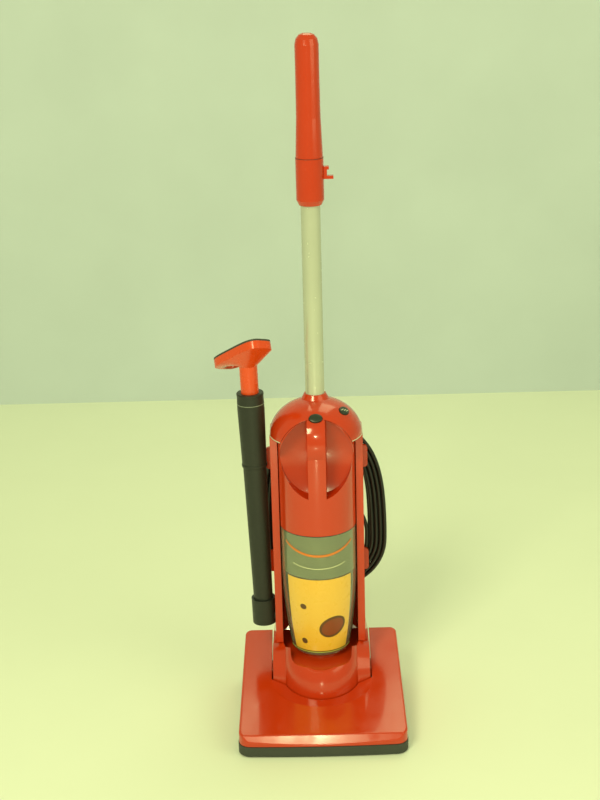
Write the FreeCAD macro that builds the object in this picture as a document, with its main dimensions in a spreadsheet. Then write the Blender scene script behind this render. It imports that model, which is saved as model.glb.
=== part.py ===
import FreeCAD, Part
import math
import os
import re
import Sketcher

# An upright household vacuum cleaner with a clear dust cup, a tube handle and a wand on its left side.
# Millimetres, +Z up. Seen from the front, +X is to the right and the front is towards -Y.
# The origin is on the floor, under the axis on which the upright body reclines.

V = FreeCAD.Vector

# Driving sizes, each written once.
SIZES = {
    # nozzle outline, seen from above, measured from the recline axis
    "nozzle_front_half": 140.5, "nozzle_rear_half": 135, "nozzle_front": 193, "nozzle_bow": 4,
    "nozzle_rear": 80, "front_corner": 20, "rear_corner": 12,
    # hood, seen from the side
    "hood_bottom": 20, "crease_height": 38, "crease_back": 9, "hood_rear_height": 95, "hood_wall": 2.5,
    "hood_edge": 4,
    # sole tray and bumper
    "sole_bottom": 5, "sole_floor": 3, "sole_inset": 2, "sole_rear_edge": 8, "bumper_stand_out": 1,
    "bumper_bottom": 2.5, "bumper_length": 78, "skid_half": 60, "skid_depth": 12,
    # recline pivot and the bowl that turns in the hood
    "pivot_height": 56, "nose_radius": 100, "nose_half": 62, "nose_edge": 62, "ear_half": 84,
    "ear_radius": 52, "bowl_gap": 2, "ear_gap": 2.5, "bowl_wall": 3, "bowl_bottom": 12, "bowl_split": 0,
    "rim_front": 90, "rim_height": 98.5, "rim_slope": 0.56, "trunnion_radius": 16, "trunnion_bore": 13.5,
    "running_gap": 0.05, "saddle_gap": 0.5, "saddle_width": 8, "cap_wall": 2.3,
    # shallow dish in the hood's top, round the bowl
    "dish_half": 88, "dish_front": 125, "dish_centre": 55, "dish_depth": 7, "dish_round": 200,
    # back of the motor housing
    "back_radius": 44, "back_rise": 128, "back_shoulder": 100,
    # wheels
    "rear_wheel_radius": 26, "rear_wheel_width": 12, "rear_wheel_side": 112, "rear_wheel_back": 46,
    "rear_axle_radius": 4, "front_wheel_radius": 8, "front_wheel_width": 8, "front_wheel_side": 66,
    "front_wheel_front": 118, "front_axle_radius": 2, "wheel_gap": 1.5, "ear_width": 3.5,
    # brushroll and belt
    "brush_front": 155, "brush_height": 21, "brush_radius": 12, "bristle_reach": 18.5, "bristle_radius": 2.2,
    "bristle_pitch": 14, "brush_half": 120, "brush_axle_radius": 3, "brush_pulley_radius": 10,
    "belt_low": 105, "belt_width": 8, "belt_thickness": 1.6, "motor_pulley_radius": 5,
    "belt_gap": 0.3, "belt_slot": 2.5, "cap_length": 6, "chamber_half_depth": 20,
    # motor
    "can_radius": 31, "can_half": 40, "can_wall": 3, "armature_radius": 20, "armature_half": 28,
    "shaft_radius": 4, "fan_radius": 36, "fan_width": 10, "fan_side": 56, "ring_radius": 40.8,
    "ring_width": 3, "ring_inset": 4,
    # release pedal
    "pedal_side": 115, "pedal_half": 9, "pedal_pin_back": 40, "pedal_pin_height": 72, "pedal_pin_radius": 2.5,
    "pedal_tip": 98, "pedal_thickness": 6, "pedal_barrel": 5,
    # dust cup
    "cup_radius": 64.5, "cup_shoulder": 266, "cup_waist": 61, "cup_waist_height": 190, "cup_foot_radius": 50.5,
    "cup_foot_rise": 9, "cup_sole_radius": 41, "foot_gap": 1.5,
    "cup_bottom": 105, "cup_wall": 2.5, "cup_top": 336.5, "seal_height": 1.5, "cup_gap": 1.8,
    "deck_top": 100, "deck_thickness": 3, "seat_radius": 40,
    "label_low": 116, "label_high": 258, "label_angle": 55, "label_thickness": 0.4,
    # lid, recess and grab bar
    "lid_radius": 65, "lid_wall": 2.5, "arch_radius": 62, "arch_height": 478, "arch_back": 20,
    "arch_gap": 0.5, "scoop_half": 60.5, "scoop_rise": 69, "scoop_height": 471, "scoop_depth": 46,
    "scoop_front": 67, "scoop_spread": 150, "scoop_sweep": 95,
    "bar_half": 15, "bar_depth": 17, "notch_low": 527, "notch_front": 45, "plate_thickness": 3, "plate_hole": 20,
    "filter_radius": 34, "filter_bore": 24, "filter_length": 95, "filter_pleats": 24,
    # rear housing
    "body_half": 77.5, "body_rear": 80, "body_corner": 32, "rail_front": 12, "rail_bottom": 108,
    "body_wall": 3, "body_top": 497, "wing_half": 88, "wing_thickness": 6, "wing_height": 40,
    # canopy
    "dome_depth": 75, "dome_centre": 5, "dome_rise": 62, "dome_wall": 3, "seam": 0.3,
    "latch_half": 11, "latch_rise": 8, "latch_front": 48, "latch_travel": 3, "latch_proud": 2.5,
    "button_depth": 4, "button_gap": 0.5, "switch_side": 47, "switch_front": 18, "switch_half": 11,
    "switch_rise": 8, "switch_proud": 2, "rocker_depth": 1.6, "rocker_radius": 1.1, "rocker_clear": 0.2,
    "socket_flare": 6, "socket_rise": 7,
    # handle
    "tube_radius": 15.875, "tube_wall": 1.2, "tube_back": 12, "tube_bottom": 500, "tube_top": 965,
    "boss_wall": 4, "collar_bottom": 882, "collar_top": 957, "collar_radius": 22.5, "grip_neck": 20.8,
    "grip_radius": 19, "grip_top": 1149, "grip_waist": 1020, "fit_gap": 0.1,
    # wand, standing at the left side of the body
    "wand_side": 97, "wand_back": 5, "wand_foot": 150, "wand_lean": 1.46, "wand_end_radius": 16.5,
    "wand_mouth_radius": 19.7, "wand_joint": 290, "wand_wall": 2, "spigot_radius": 16.6,
    "spigot_length": 34, "upper_radius": 20.5, "upper_swell": 22.8, "upper_top": 421, "holder_wall": 4,
    "holder_depth": 46, "holder_floor": 3, "passage_radius": 8, "hose_radius": 13, "hose_bore": 10.5, "hose_length": 250,
    # upholstery tool
    "neck_radius": 15, "neck_length": 47, "neck_grip": 12, "tool_half": 57.5, "tool_mouth": 26,
    "tool_skirt": 13, "tool_rise": 23, "tool_side": -9, "tool_back": 5, "tool_yaw": -43, "tool_tilt": 18,
    "tool_skew": 28, "lip_thickness": 3,
    # cord, hooks and hank
    "cord_radius": 3.5, "hank_pitch": 7.6, "hank_first": 84.2, "hank_right": 118, "hank_middle": 10,
    "hank_top": 482, "hank_bottom": 172, "hank_widest": 268, "hank_turns": 4, "hook_radius": 26,
    "hook_half": 20, "hook_reach": 16.5, "hook_lip": 3.5, "hook_overlap": 34, "hook_gap": 1.5,
    "hook_screw_radius": 2.5, "hook_head_radius": 5, "screw_radius": 1.8, "screw_head_radius": 4, "head_height": 2,
    "gland_half": 8, "gland_length": 24, "gland_side": 40, "gland_low": 400, "cord_start": 0.3, "climb_slope": 0.022,
    "plug_side": -34, "plug_low": 345, "plug_length": 38, "plug_half": 10, "plug_back": 86.8,
    "plug_half_depth": 6, "blade_length": 17, "blade_side": 6.35, "blade_half_width": 3.2,
    "blade_half_thickness": 0.75,
}

# Places that follow from the sizes above.
PLACES = {
    "sole_top": "sole_bottom + sole_floor",
    "pocket_half": "ear_half + ear_gap",
    "saddle_low": "pocket_half + hood_wall + saddle_gap",
    "trunnion_length": "ear_gap + hood_wall + 2 * saddle_gap + saddle_width",
    "lid_bottom": "cup_top + seal_height",
    "cradle_radius": "cup_radius + cup_gap",
    "canopy_bottom": "body_top + seam",
    "brush_opening": "brush_half + 1",
    "cap_low": "brush_opening + 0.3",
    "hank_inner_top": "hank_top - hank_turns * hank_pitch",
    "hank_inner_bottom": "hank_bottom + hank_turns * hank_pitch",
    "hank_inner_right": "hank_right - hank_turns * hank_pitch",
    "upper_hook_height": "hank_inner_top + 0.75 * hank_pitch - cord_radius - hook_gap - hook_radius",
    "lower_hook_height": "hank_inner_bottom - 0.25 * hank_pitch + cord_radius + hook_gap + hook_radius",
    "passage_height": "wand_foot + holder_floor + passage_radius + 1",
    "hose_start": "holder_floor + 2 * passage_radius + 2",
    "hook_end": "body_rear + hook_reach",
    "holder_radius": "wand_end_radius + holder_wall",
    "collar_bore": "tube_radius + fit_gap",
}

doc = FreeCAD.newDocument("UprightVacuum")
sheet = doc.addObject("Spreadsheet::Sheet", "Sizes")
for row, (word, number) in enumerate(SIZES.items(), 1):
    sheet.set(f"A{row}", word)
    sheet.set(f"B{row}", str(number))
    sheet.setAlias(f"B{row}", word)
places = doc.addObject("App::VarSet", "Places")


def bound(expression):
    """The expression with each word naming its cell in the sheet or its place."""
    return re.sub(r"[a-z][a-z_]+", lambda w: ("Places." if w[0] in PLACES else "Sizes.") + w[0], expression)


for word, expression in PLACES.items():
    places.addProperty("App::PropertyFloat", word)
    places.setExpression(word, bound(expression))
doc.recompute()


class Sizes:
    """Reads a size or a place as a number."""

    def __getattr__(self, word):
        return float(getattr(places if word in PLACES else sheet, word))


size = Sizes()
nodes = {}
places.addProperty("App::PropertyFloat", "reading")


def number(expression):
    """The value of an expression, worked out by the document."""
    places.setExpression("reading", bound(expression))
    places.recompute()
    return float(places.reading)


def node(label, item):
    """Names a finished piece, which gives its file the same name."""
    item.Label = label
    nodes[label] = item
    return item


# Small builders. Every size that they take is an expression over the sheet.

TURNED = {"x": FreeCAD.Rotation(V(0, 1, 0), 90), "y": FreeCAD.Rotation(V(1, 0, 0), -90), "z": FreeCAD.Rotation()}


def box(name, x, y, z):
    item = doc.addObject("Part::Box", name)
    for side, axis, (low, high) in (("Length", "x", x), ("Width", "y", y), ("Height", "z", z)):
        item.setExpression(side, bound(f"({high}) - ({low})"))
        item.setExpression(f"Placement.Base.{axis}", bound(low))
    return item


def rod(name, axis, radius, along, across):
    """A cylinder from along[0] to along[1] on an axis that crosses the other two at across."""
    item = doc.addObject("Part::Cylinder", name)
    item.Placement = FreeCAD.Placement(V(0, 0, 0), TURNED[axis])
    item.setExpression("Radius", bound(radius))
    item.setExpression("Height", bound(f"({along[1]}) - ({along[0]})"))
    spots = dict(zip([a for a in "xyz" if a != axis], across))
    spots[axis] = along[0]
    for letter, place in spots.items():
        item.setExpression(f"Placement.Base.{letter}", bound(place))
    return item


def cut(name, base, *tools):
    item = doc.addObject("Part::Cut", name)
    item.Base = base
    item.Tool = tools[0] if len(tools) == 1 else join(name + "_tools", *tools)
    return item


def join(name, *pieces):
    item = doc.addObject("Part::MultiFuse", name)
    item.Shapes = list(pieces)
    return item


def meet(name, *pieces):
    item = doc.addObject("Part::MultiCommon", name)
    item.Shapes = list(pieces)
    return item


def group(name, *pieces):
    """Pieces of one kind that share a node and stay separate solids."""
    item = doc.addObject("Part::Compound", name)
    item.Links = list(pieces)
    return item


def tube(name, axis, outer, inner, along, across):
    return cut(name, rod(name + "_outside", axis, outer, along, across),
               rod(name + "_bore", axis, inner, (f"{along[0]} - 1", f"{along[1]} + 1"), across))


def feature(name, shape):
    """A piece whose outline is worked out with the sheet's values."""
    item = doc.addObject("Part::Feature", name)
    item.Shape = shape
    return item


def body_sketch(name, plane, points):
    """A body with one closed sketch, whose corners are bound to the sheet."""
    body = doc.addObject("PartDesign::Body", name)
    sketch = body.newObject("Sketcher::SketchObject", name + "_sketch")
    origin_plane = next(f for f in body.Origin.OriginFeatures if f.Role == plane)
    sketch.AttachmentSupport = [(origin_plane, "")]
    sketch.MapMode = "FlatFace"
    corners = [(number(across), number(up)) for across, up in points]
    count = len(corners)
    for i in range(count):
        start, end = corners[i], corners[(i + 1) % count]
        sketch.addGeometry(Part.LineSegment(V(*start, 0), V(*end, 0)), False)
    for i in range(count):
        sketch.addConstraint(Sketcher.Constraint("Coincident", i, 2, (i + 1) % count, 1))
    for i, point in enumerate(points):
        for kind, expression, here in zip(("DistanceX", "DistanceY"), point, corners[i]):
            index = sketch.addConstraint(Sketcher.Constraint(kind, -1, 1, i, 1, here))
            sketch.setExpression(f"Constraints[{index}]", bound(expression))
    return body, sketch


def lathe(name, points, axis="z", spot=("0", "0", "0")):
    """A turned piece: points are (radius, along), and spot is where its axis starts."""
    body, sketch = body_sketch(name, "XZ_Plane", points)
    spin = body.newObject("PartDesign::Revolution", name + "_turned")
    spin.Profile = sketch
    spin.ReferenceAxis = (sketch, ["V_Axis"])
    spin.Angle = 360
    body.Placement = FreeCAD.Placement(V(0, 0, 0), TURNED[axis])
    for letter, place in zip("xyz", spot):
        body.setExpression(f"Placement.Base.{letter}", bound(place))
    return body


def pad(name, plane, points, length, spot=("0", "0", "0")):
    """A flat outline raised by a length along its plane's normal."""
    body, sketch = body_sketch(name, plane, points)
    rise = body.newObject("PartDesign::Pad", name + "_raised")
    rise.Profile = sketch
    rise.setExpression("Length", bound(length))
    for letter, place in zip("xyz", spot):
        body.setExpression(f"Placement.Base.{letter}", bound(place))
    return body


SIDES = ((-1, "left"), (1, "right"))


def span(sign, low, high):
    """A stretch along X on the left or the right side."""
    return (low, high) if sign > 0 else (f"-({high})", f"-({low})")


def outline(points):
    """A closed wire through points, where a point given with a middle one before it ends an arc."""
    edges = []
    last = points[0]
    for step in list(points[1:]) + [points[0]]:
        if isinstance(step, tuple):
            edges.append(Part.Arc(last, step[0], step[1]).toShape())
            last = step[1]
        else:
            edges.append(Part.LineSegment(last, step).toShape())
            last = step
    return Part.Wire(edges)


# The nozzle: a red hood over a black sole tray, with the brushroll, belt, wheels, pivot and pedal.

def nozzle_prism(inset, low, high):
    """The nozzle's outline from above, drawn in by inset, with rounded corners and a bowed front."""
    front = -(size.nozzle_front - inset)
    rear = size.nozzle_rear - inset
    front_half = size.nozzle_front_half - inset
    rear_half = size.nozzle_rear_half - inset
    wire = outline([V(rear_half, rear, low), V(-rear_half, rear, low), V(-front_half, front, low),
                    (V(0, front - size.nozzle_bow, low), V(front_half, front, low))])
    block = Part.Face(wire).extrude(V(0, 0, high - low))
    for ahead, radius in ((True, size.front_corner - inset), (False, size.rear_corner - inset)):
        upright = [e for e in block.Edges if abs(e.BoundBox.ZLength - (high - low)) < 0.01
                   and (e.BoundBox.Center.y < 0) == ahead]
        block = block.makeFillet(radius, upright)
    return block


def hood_form(inset, low):
    """The space under the hood's skin at a depth of inset."""
    front = -(size.nozzle_front + size.nozzle_bow - inset)
    rear = size.nozzle_rear - inset
    crease = -(size.nozzle_front + size.nozzle_bow - size.crease_back - inset)
    profile = [V(0, front - 2, low - 5), V(0, front - 2, size.hood_bottom), V(0, crease, size.crease_height - inset),
               V(0, rear, size.hood_rear_height - inset), V(0, rear, low - 5)]
    wedge = Part.Face(outline(profile)).extrude(V(400, 0, 0))
    wedge.translate(V(-200, 0, 0))
    return nozzle_prism(inset, low, size.hood_rear_height + 10).common(wedge)


def bowl_form(gap, side_gap):
    """The round nose and ears of the body, turned about the recline axis and grown by a gap."""
    ear = size.ear_half + side_gap
    half = size.nose_half
    profile = outline([V(-ear, 0, 0), V(-ear, size.ear_radius + gap, 0), V(-half, size.nose_edge + gap, 0),
                       (V(0, size.nose_radius + gap, 0), V(half, size.nose_edge + gap, 0)),
                       V(ear, size.ear_radius + gap, 0), V(ear, 0, 0)])
    form = Part.Face(profile).revolve(V(0, 0, 0), V(1, 0, 0), 360)
    form.translate(V(0, 0, size.pivot_height))
    return form


def block(x, y, z):
    """A plain block between two corners, for trimming."""
    return Part.makeBox(x[1] - x[0], y[1] - y[0], z[1] - z[0], V(x[0], y[0], z[0]))


def pocket_form(wall):
    """What the hood leaves free for the body to recline, grown by the pocket's wall."""
    half = size.pocket_half + wall
    swing = block((-half, half), (0, size.nozzle_rear + 10), (0, 150))
    return bowl_form(size.bowl_gap + wall, size.ear_gap + wall).fuse(swing)


def dish_form(sink):
    """The flat ball whose underside dips into the hood's slanted top, moved down by sink."""
    run = size.nozzle_rear + size.nozzle_front + size.nozzle_bow - size.crease_back
    slope = math.atan2(size.hood_rear_height - size.crease_height, run)
    top = size.hood_rear_height - math.tan(slope) * (size.nozzle_rear + size.dish_centre)
    lift = size.dish_round - size.dish_depth
    spread = 1 / math.sqrt(1 - (lift / size.dish_round) ** 2)
    ball = Part.makeSphere(1)
    matrix = FreeCAD.Matrix()
    matrix.scale(V(size.dish_half * spread, (size.dish_front - size.dish_centre) * spread, size.dish_round))
    ball = ball.transformGeometry(matrix)
    ball.translate(V(0, 0, lift - sink))
    ball.rotate(V(0, 0, 0), V(1, 0, 0), math.degrees(slope))
    ball.translate(V(0, -size.dish_centre, top))
    return ball


def make_hood():
    """The red hood: a thin shell with a pocket for the bowl and a slot in its rear for the body."""
    wall = size.hood_wall
    outer = hood_form(0, size.hood_bottom)
    top = [e for e in outer.Edges if e.BoundBox.ZMin > size.hood_bottom + 1]
    outer = outer.makeFillet(size.hood_edge, top)
    hollow = hood_form(wall, size.hood_bottom - 1).cut(pocket_form(wall)).cut(dish_form(wall))
    hood = outer.cut(hollow).cut(pocket_form(0)).cut(dish_form(0))
    clear = size.trunnion_radius + 1
    for sign, side in SIDES:
        reach = sorted((sign * (size.pocket_half - 1), sign * (size.pocket_half + wall + 1)))
        hood = hood.cut(block(reach, (-clear, clear), (0, size.pivot_height)))
        hole = Part.makeCylinder(clear, reach[1] - reach[0], V(reach[0], 0, size.pivot_height), V(1, 0, 0))
        hood = hood.cut(hole)
    slot = size.pedal_half + 1
    low = size.pedal_pin_height - 16
    slot_block = block((-size.pedal_side - slot, -size.pedal_side + slot),
                       (size.nozzle_rear - wall - 3, size.nozzle_rear + 1), (low, size.pedal_pin_height + 5))
    return hood.cut(slot_block)


node("nozzle_hood", feature("Hood", make_hood().removeSplitter()))


def belt_loop(grow, side=0):
    """The space inside the belt, grown outward and to each side, round both pulleys."""
    motor = V(0, 0, size.pivot_height)
    brush = V(0, -size.brush_front, size.brush_height)
    small, large = size.motor_pulley_radius + grow, size.brush_pulley_radius + grow
    line = brush - motor
    length = line.Length
    line.normalize()
    normal = V(0, -line.z, line.y)
    lean = math.asin((large - small) / length)
    sides = [normal * math.cos(lean) * s - line * math.sin(lean) for s in (-1, 1)]
    start = [motor + side * small for side in sides]
    end = [brush + side * large for side in sides]
    wire = Part.Wire([
        Part.LineSegment(start[0], end[0]).toShape(),
        Part.Arc(end[0], brush + line * large, end[1]).toShape(),
        Part.LineSegment(end[1], start[1]).toShape(),
        Part.Arc(start[1], motor - line * small, start[0]).toShape()])
    loop = Part.Face(wire).extrude(V(size.belt_width + 2 * side, 0, 0))
    loop.translate(V(size.belt_low - side, 0, 0))
    return loop


def make_tray():
    """The black tray that closes the nozzle's underside, with its openings, posts and skid."""
    inset = size.sole_inset
    rim_top = size.hood_bottom - size.seam
    tray = nozzle_prism(inset, size.sole_bottom, rim_top)
    tray = tray.cut(nozzle_prism(inset + size.hood_wall, size.sole_top, rim_top + 1))
    half = size.pocket_half
    tray = tray.cut(block((-half, half), (size.sole_rear_edge, size.nozzle_rear + 1), (0, 60)))
    depth = size.chamber_half_depth
    opening = size.brush_opening
    wall_back = -size.brush_front + depth
    chamber = block((-opening, opening), (wall_back, wall_back + size.hood_wall), (size.sole_bottom, 34))
    skid = block((-size.skid_half, size.skid_half),
                 (size.sole_rear_edge - 2 - size.skid_depth, size.sole_rear_edge - 2), (0, size.sole_top))
    tray = tray.fuse([chamber, skid])
    tray = tray.cut(block((-opening, opening), (wall_back - 2 * depth, wall_back), (0, size.sole_top + 1)))
    post = size.pedal_pin_radius + 3
    for offset in (-1, 1):
        middle = -size.pedal_side + offset * (size.pedal_half + 0.5 + size.ear_width / 2)
        stand = block((middle - size.ear_width / 2, middle + size.ear_width / 2),
                      (size.pedal_pin_back - post, size.pedal_pin_back + post),
                      (size.sole_bottom, size.pedal_pin_height + post))
        tray = tray.fuse(stand)
    for sign, side in SIDES:
        for centre, width, back, radius, axle in (
                (size.rear_wheel_side + size.rear_wheel_width / 2, size.rear_wheel_width, size.rear_wheel_back,
                 size.rear_wheel_radius, size.rear_axle_radius),
                (size.front_wheel_side + size.front_wheel_width / 2, size.front_wheel_width,
                 -size.front_wheel_front, size.front_wheel_radius, size.front_axle_radius)):
            inner = width / 2 + size.wheel_gap
            outer = inner + size.ear_width
            x = sorted((sign * (centre - inner), sign * (centre + inner)))
            ears = sorted((sign * (centre - outer), sign * (centre + outer)))
            post = axle + 3
            tray = tray.fuse(block(ears, (back - post, back + post), (size.sole_bottom, radius + post)))
            well = block(x, (back - radius - 3, back + radius + 3), (0, radius + post + 1))
            pin = Part.makeCylinder(axle, 2 * outer + 2, V(ears[0] - 1, back, radius), V(1, 0, 0))
            tray = tray.cut([well, pin])
    pin = Part.makeCylinder(size.pedal_pin_radius, 60, V(-size.pedal_side - 30, size.pedal_pin_back,
                                                         size.pedal_pin_height), V(1, 0, 0))
    belt = belt_loop(size.belt_gap + size.belt_thickness + size.belt_slot, size.belt_slot)
    return tray.cut([pin, belt])


node("sole_tray", feature("Tray", make_tray().removeSplitter()))


def make_bumper():
    """The soft black strip round the front of the tray."""
    rim_top = size.hood_bottom - 2 * size.seam
    strip = nozzle_prism(-size.bumper_stand_out, size.bumper_bottom, rim_top)
    strip = strip.cut(nozzle_prism(size.sole_inset, 0, rim_top + 1))
    end = -size.nozzle_front + size.bumper_length
    return strip.common(block((-200, 200), (-300, end), (0, 60)))


node("front_bumper", feature("Bumper", make_bumper()))

# Wheels turn on steel axles that stand in the tray's ears.
axles = []
for sign, side in SIDES:
    for place in ("rear", "front"):
        radius, width = f"{place}_wheel_radius", f"{place}_wheel_width"
        axle = f"{place}_axle_radius"
        back = "rear_wheel_back" if place == "rear" else "-front_wheel_front"
        low, high = f"{place}_wheel_side", f"{place}_wheel_side + {width}"
        wheel = lathe(f"{place}_{side}", [
            (f"{axle} + running_gap", "0"), (f"{radius} * 0.5", "0"), (f"{radius} * 0.5", f"{width} * 0.2"),
            (f"{radius} * 0.8", f"{width} * 0.2"), (f"{radius} * 0.8", "0"), (f"{radius} - 1", "0"),
            (radius, "1"), (radius, f"{width} - 1"), (f"{radius} - 1", width),
            (f"{radius} * 0.8", width), (f"{radius} * 0.8", f"{width} * 0.8"),
            (f"{radius} * 0.5", f"{width} * 0.8"), (f"{radius} * 0.5", width), (f"{axle} + running_gap", width)],
            "x", (span(sign, low, high)[0], back, radius))
        node(f"{place}_wheel_{side}", wheel)
        stretch = (f"{low} - wheel_gap - ear_width", f"{high} + wheel_gap + ear_width")
        axles.append(rod(f"axle_{place}_{side}", "x", axle, span(sign, *stretch), (back, radius)))
node("wheel_axles", group("Axles", *axles))

# Brushroll: a grooved core on a fixed steel axle, with two spiral rows of bristle tufts.
brush_spot = ("-brush_half", "-brush_front", "brush_height")
belt_inner = "belt_low + brush_half - 0.5"
belt_outer = "belt_low + belt_width + brush_half + 0.5"
node("brush_core", lathe("Core", [
    ("brush_axle_radius + running_gap", "0"), ("brush_radius", "0"), ("brush_radius", belt_inner),
    ("brush_pulley_radius", belt_inner), ("brush_pulley_radius", belt_outer), ("brush_radius", belt_outer),
    ("brush_radius", "2 * brush_half"), ("brush_axle_radius + running_gap", "2 * brush_half")],
    "x", brush_spot))
node("brush_axle", rod("BrushAxle", "x", "brush_axle_radius", ("-cap_low - cap_length", "cap_low + cap_length"),
                       ("-brush_front", "brush_height")))
caps = []
for sign, side in SIDES:
    x = span(sign, "cap_low", "cap_low + cap_length")
    holder = box(f"cap_{side}", x, ("-brush_front - 7", "-brush_front + 7"), ("sole_top", "brush_height + 8"))
    hole = rod(f"cap_hole_{side}", "x", "brush_axle_radius", (f"{x[0]} - 1", f"{x[1]} + 1"),
               ("-brush_front", "brush_height"))
    caps.append(cut(f"end_cap_{side}", holder, hole))
node("brush_end_caps", group("EndCaps", *caps))


def make_tufts():
    """Two rows of tufts that wind half a turn round the core, clear of the belt's groove."""
    tufts = []
    reach = size.bristle_reach - size.brush_radius
    pitch = size.bristle_pitch
    count = int((size.belt_low + size.brush_half - 10) / pitch)
    for row in (0, 180):
        for i in range(count):
            x = -size.brush_half + pitch * (i + 0.7)
            turn = math.radians(row + 180 * i / count)
            out = V(0, math.cos(turn), math.sin(turn))
            start = V(x, -size.brush_front, size.brush_height) + out * size.brush_radius
            tufts.append(Part.makeCylinder(size.bristle_radius, reach, start, out))
    return Part.makeCompound(tufts)


node("brush_bristles", feature("Bristles", make_tufts()))


# The rubber belt that drives the brushroll from the motor's shaft.
node("drive_belt", feature("Belt", belt_loop(size.belt_gap + size.belt_thickness).cut(belt_loop(size.belt_gap))))

# Pivot: each trunnion of the body turns between a saddle on the tray and a cap over it.
saddles, covers = [], []
for sign, side in SIDES:
    x = span(sign, "saddle_low", "saddle_low + saddle_width")
    past = (f"{x[0]} - 1", f"{x[1]} + 1")
    hole = rod(f"pivot_hole_{side}", "x", "trunnion_radius + running_gap", past, ("0", "pivot_height"))
    stand = box(f"stand_{side}", x, ("-trunnion_radius - 4", "trunnion_radius + 4"), ("sole_top", "pivot_height"))
    saddles.append(cut(f"saddle_{side}", stand, hole))
    ring = tube(f"ring_{side}", "x", "trunnion_radius + cap_wall", "trunnion_radius + running_gap", x,
                ("0", "pivot_height"))
    upper = box(f"upper_{side}", x, ("-trunnion_radius - 5", "trunnion_radius + 5"),
                ("pivot_height", "pivot_height + trunnion_radius + 9"))
    covers.append(meet(f"cover_{side}", ring, upper))
node("pivot_saddles", group("Saddles", *saddles))
node("pivot_caps", group("Caps", *covers))

# Release pedal: a lever on a pin, whose tip stands out of the hood's rear on the left.
pedal_x = ("-pedal_side - pedal_half", "-pedal_side + pedal_half")
lever = pad("Lever", "YZ_Plane", [
    ("0", "-pedal_thickness / 2"), ("pedal_tip - pedal_pin_back - 3", "-pedal_thickness / 2"),
    ("pedal_tip - pedal_pin_back", "0"), ("pedal_tip - pedal_pin_back - 2", "pedal_thickness / 2"),
    ("0", "pedal_thickness / 2")], "2 * pedal_half", (pedal_x[0], "pedal_pin_back", "pedal_pin_height"))
barrel = rod("Barrel", "x", "pedal_barrel", pedal_x, ("pedal_pin_back", "pedal_pin_height"))
pin_hole = rod("PedalHole", "x", "pedal_pin_radius + running_gap", (f"{pedal_x[0]} - 1", f"{pedal_x[1]} + 1"),
               ("pedal_pin_back", "pedal_pin_height"))
spring_room = rod("SpringRoom", "x", "pedal_barrel + 1", ("-pedal_side + 1", "-pedal_side + pedal_half + 1"),
                  ("pedal_pin_back", "pedal_pin_height"))
node("release_pedal", cut("Pedal", join("PedalBody", lever, barrel), pin_hole, spring_room))
node("pedal_pin", rod("PedalPin", "x", "pedal_pin_radius",
                      (f"{pedal_x[0]} - 0.5 - ear_width", f"{pedal_x[1]} + 0.5 + ear_width"),
                      ("pedal_pin_back", "pedal_pin_height")))
node("pedal_spring", tube("PedalSpring", "x", "pedal_barrel - 0.4", "pedal_pin_radius + 0.3",
                          ("-pedal_side + 1.4", "-pedal_side + pedal_half + 0.5"),
                          ("pedal_pin_back", "pedal_pin_height")))


# The upright body's foot: the bowl in front, the motor's back cover, the deck and the motor.

def rim_space():
    """What lies under the bowl's slanted rim."""
    rear, front = 150, -150
    start = -size.rim_front
    points = [V(-150, front, 0), V(-150, rear, 0),
              V(-150, rear, size.rim_height + size.rim_slope * (rear - start)),
              V(-150, front, size.rim_height + size.rim_slope * (front - start))]
    return Part.Face(outline(points)).extrude(V(300, 0, 0))


def cup_space(radius, low, high):
    return Part.makeCylinder(radius, high - low, V(0, 0, low))


def cup_side(grow):
    """The cup's outer side, from the foot up: an arc below the shoulder, straight above it."""
    foot, waist, top = size.cup_foot_radius + grow, size.cup_waist + grow, size.cup_radius + grow
    sole, rise = size.cup_sole_radius + grow, size.cup_foot_rise
    turn = (sole + (foot - sole) * math.sqrt(0.5), size.cup_bottom + rise * (1 - math.sqrt(0.5)))
    return [(sole, size.cup_bottom), (turn, (foot, size.cup_bottom + rise)),
            ((waist, size.cup_waist_height), (top, size.cup_shoulder)), (top, size.cup_top)]


def cup_path(grow):
    """The space that the cup's lower end passes through as it slides out to the front."""
    foot, waist = size.cup_foot_radius + grow, size.cup_waist + grow
    sole, rise, low = size.cup_sole_radius + grow, size.cup_foot_rise, size.cup_bottom - grow
    sides = []
    for sign in (-1, 1):
        turn = V(sign * (sole + (foot - sole) * math.sqrt(0.5)), 0, low + rise * (1 - math.sqrt(0.5)))
        wire = outline([V(0, 0, low), V(sign * sole, 0, low), (turn, V(sign * foot, 0, low + rise)),
                        V(sign * waist, 0, size.cup_waist_height), V(0, 0, size.cup_waist_height)])
        sides.append(Part.Face(wire).extrude(V(0, -150, 0)))
    return sides


def make_bowl():
    """The glossy bowl: the front of the motor housing, open at its rim, where the dust cup stands."""
    wall = size.bowl_wall
    room = block((-150, 150), (-150, size.bowl_split), (size.bowl_bottom, 300))
    form = bowl_form(0, 0).common(room).common(rim_space())
    inner_room = block((-150, 150), (-150, 150), (size.bowl_bottom + wall, 300))
    bowl = form.cut(bowl_form(-wall, -wall).common(inner_room))
    bowl = bowl.cut([cup_space(size.cradle_radius, size.deck_top, 300)] + cup_path(size.foot_gap))
    bore = Part.makeCylinder(size.trunnion_bore, 400, V(-200, 0, size.pivot_height), V(1, 0, 0))
    return bowl.cut(bore)


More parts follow.
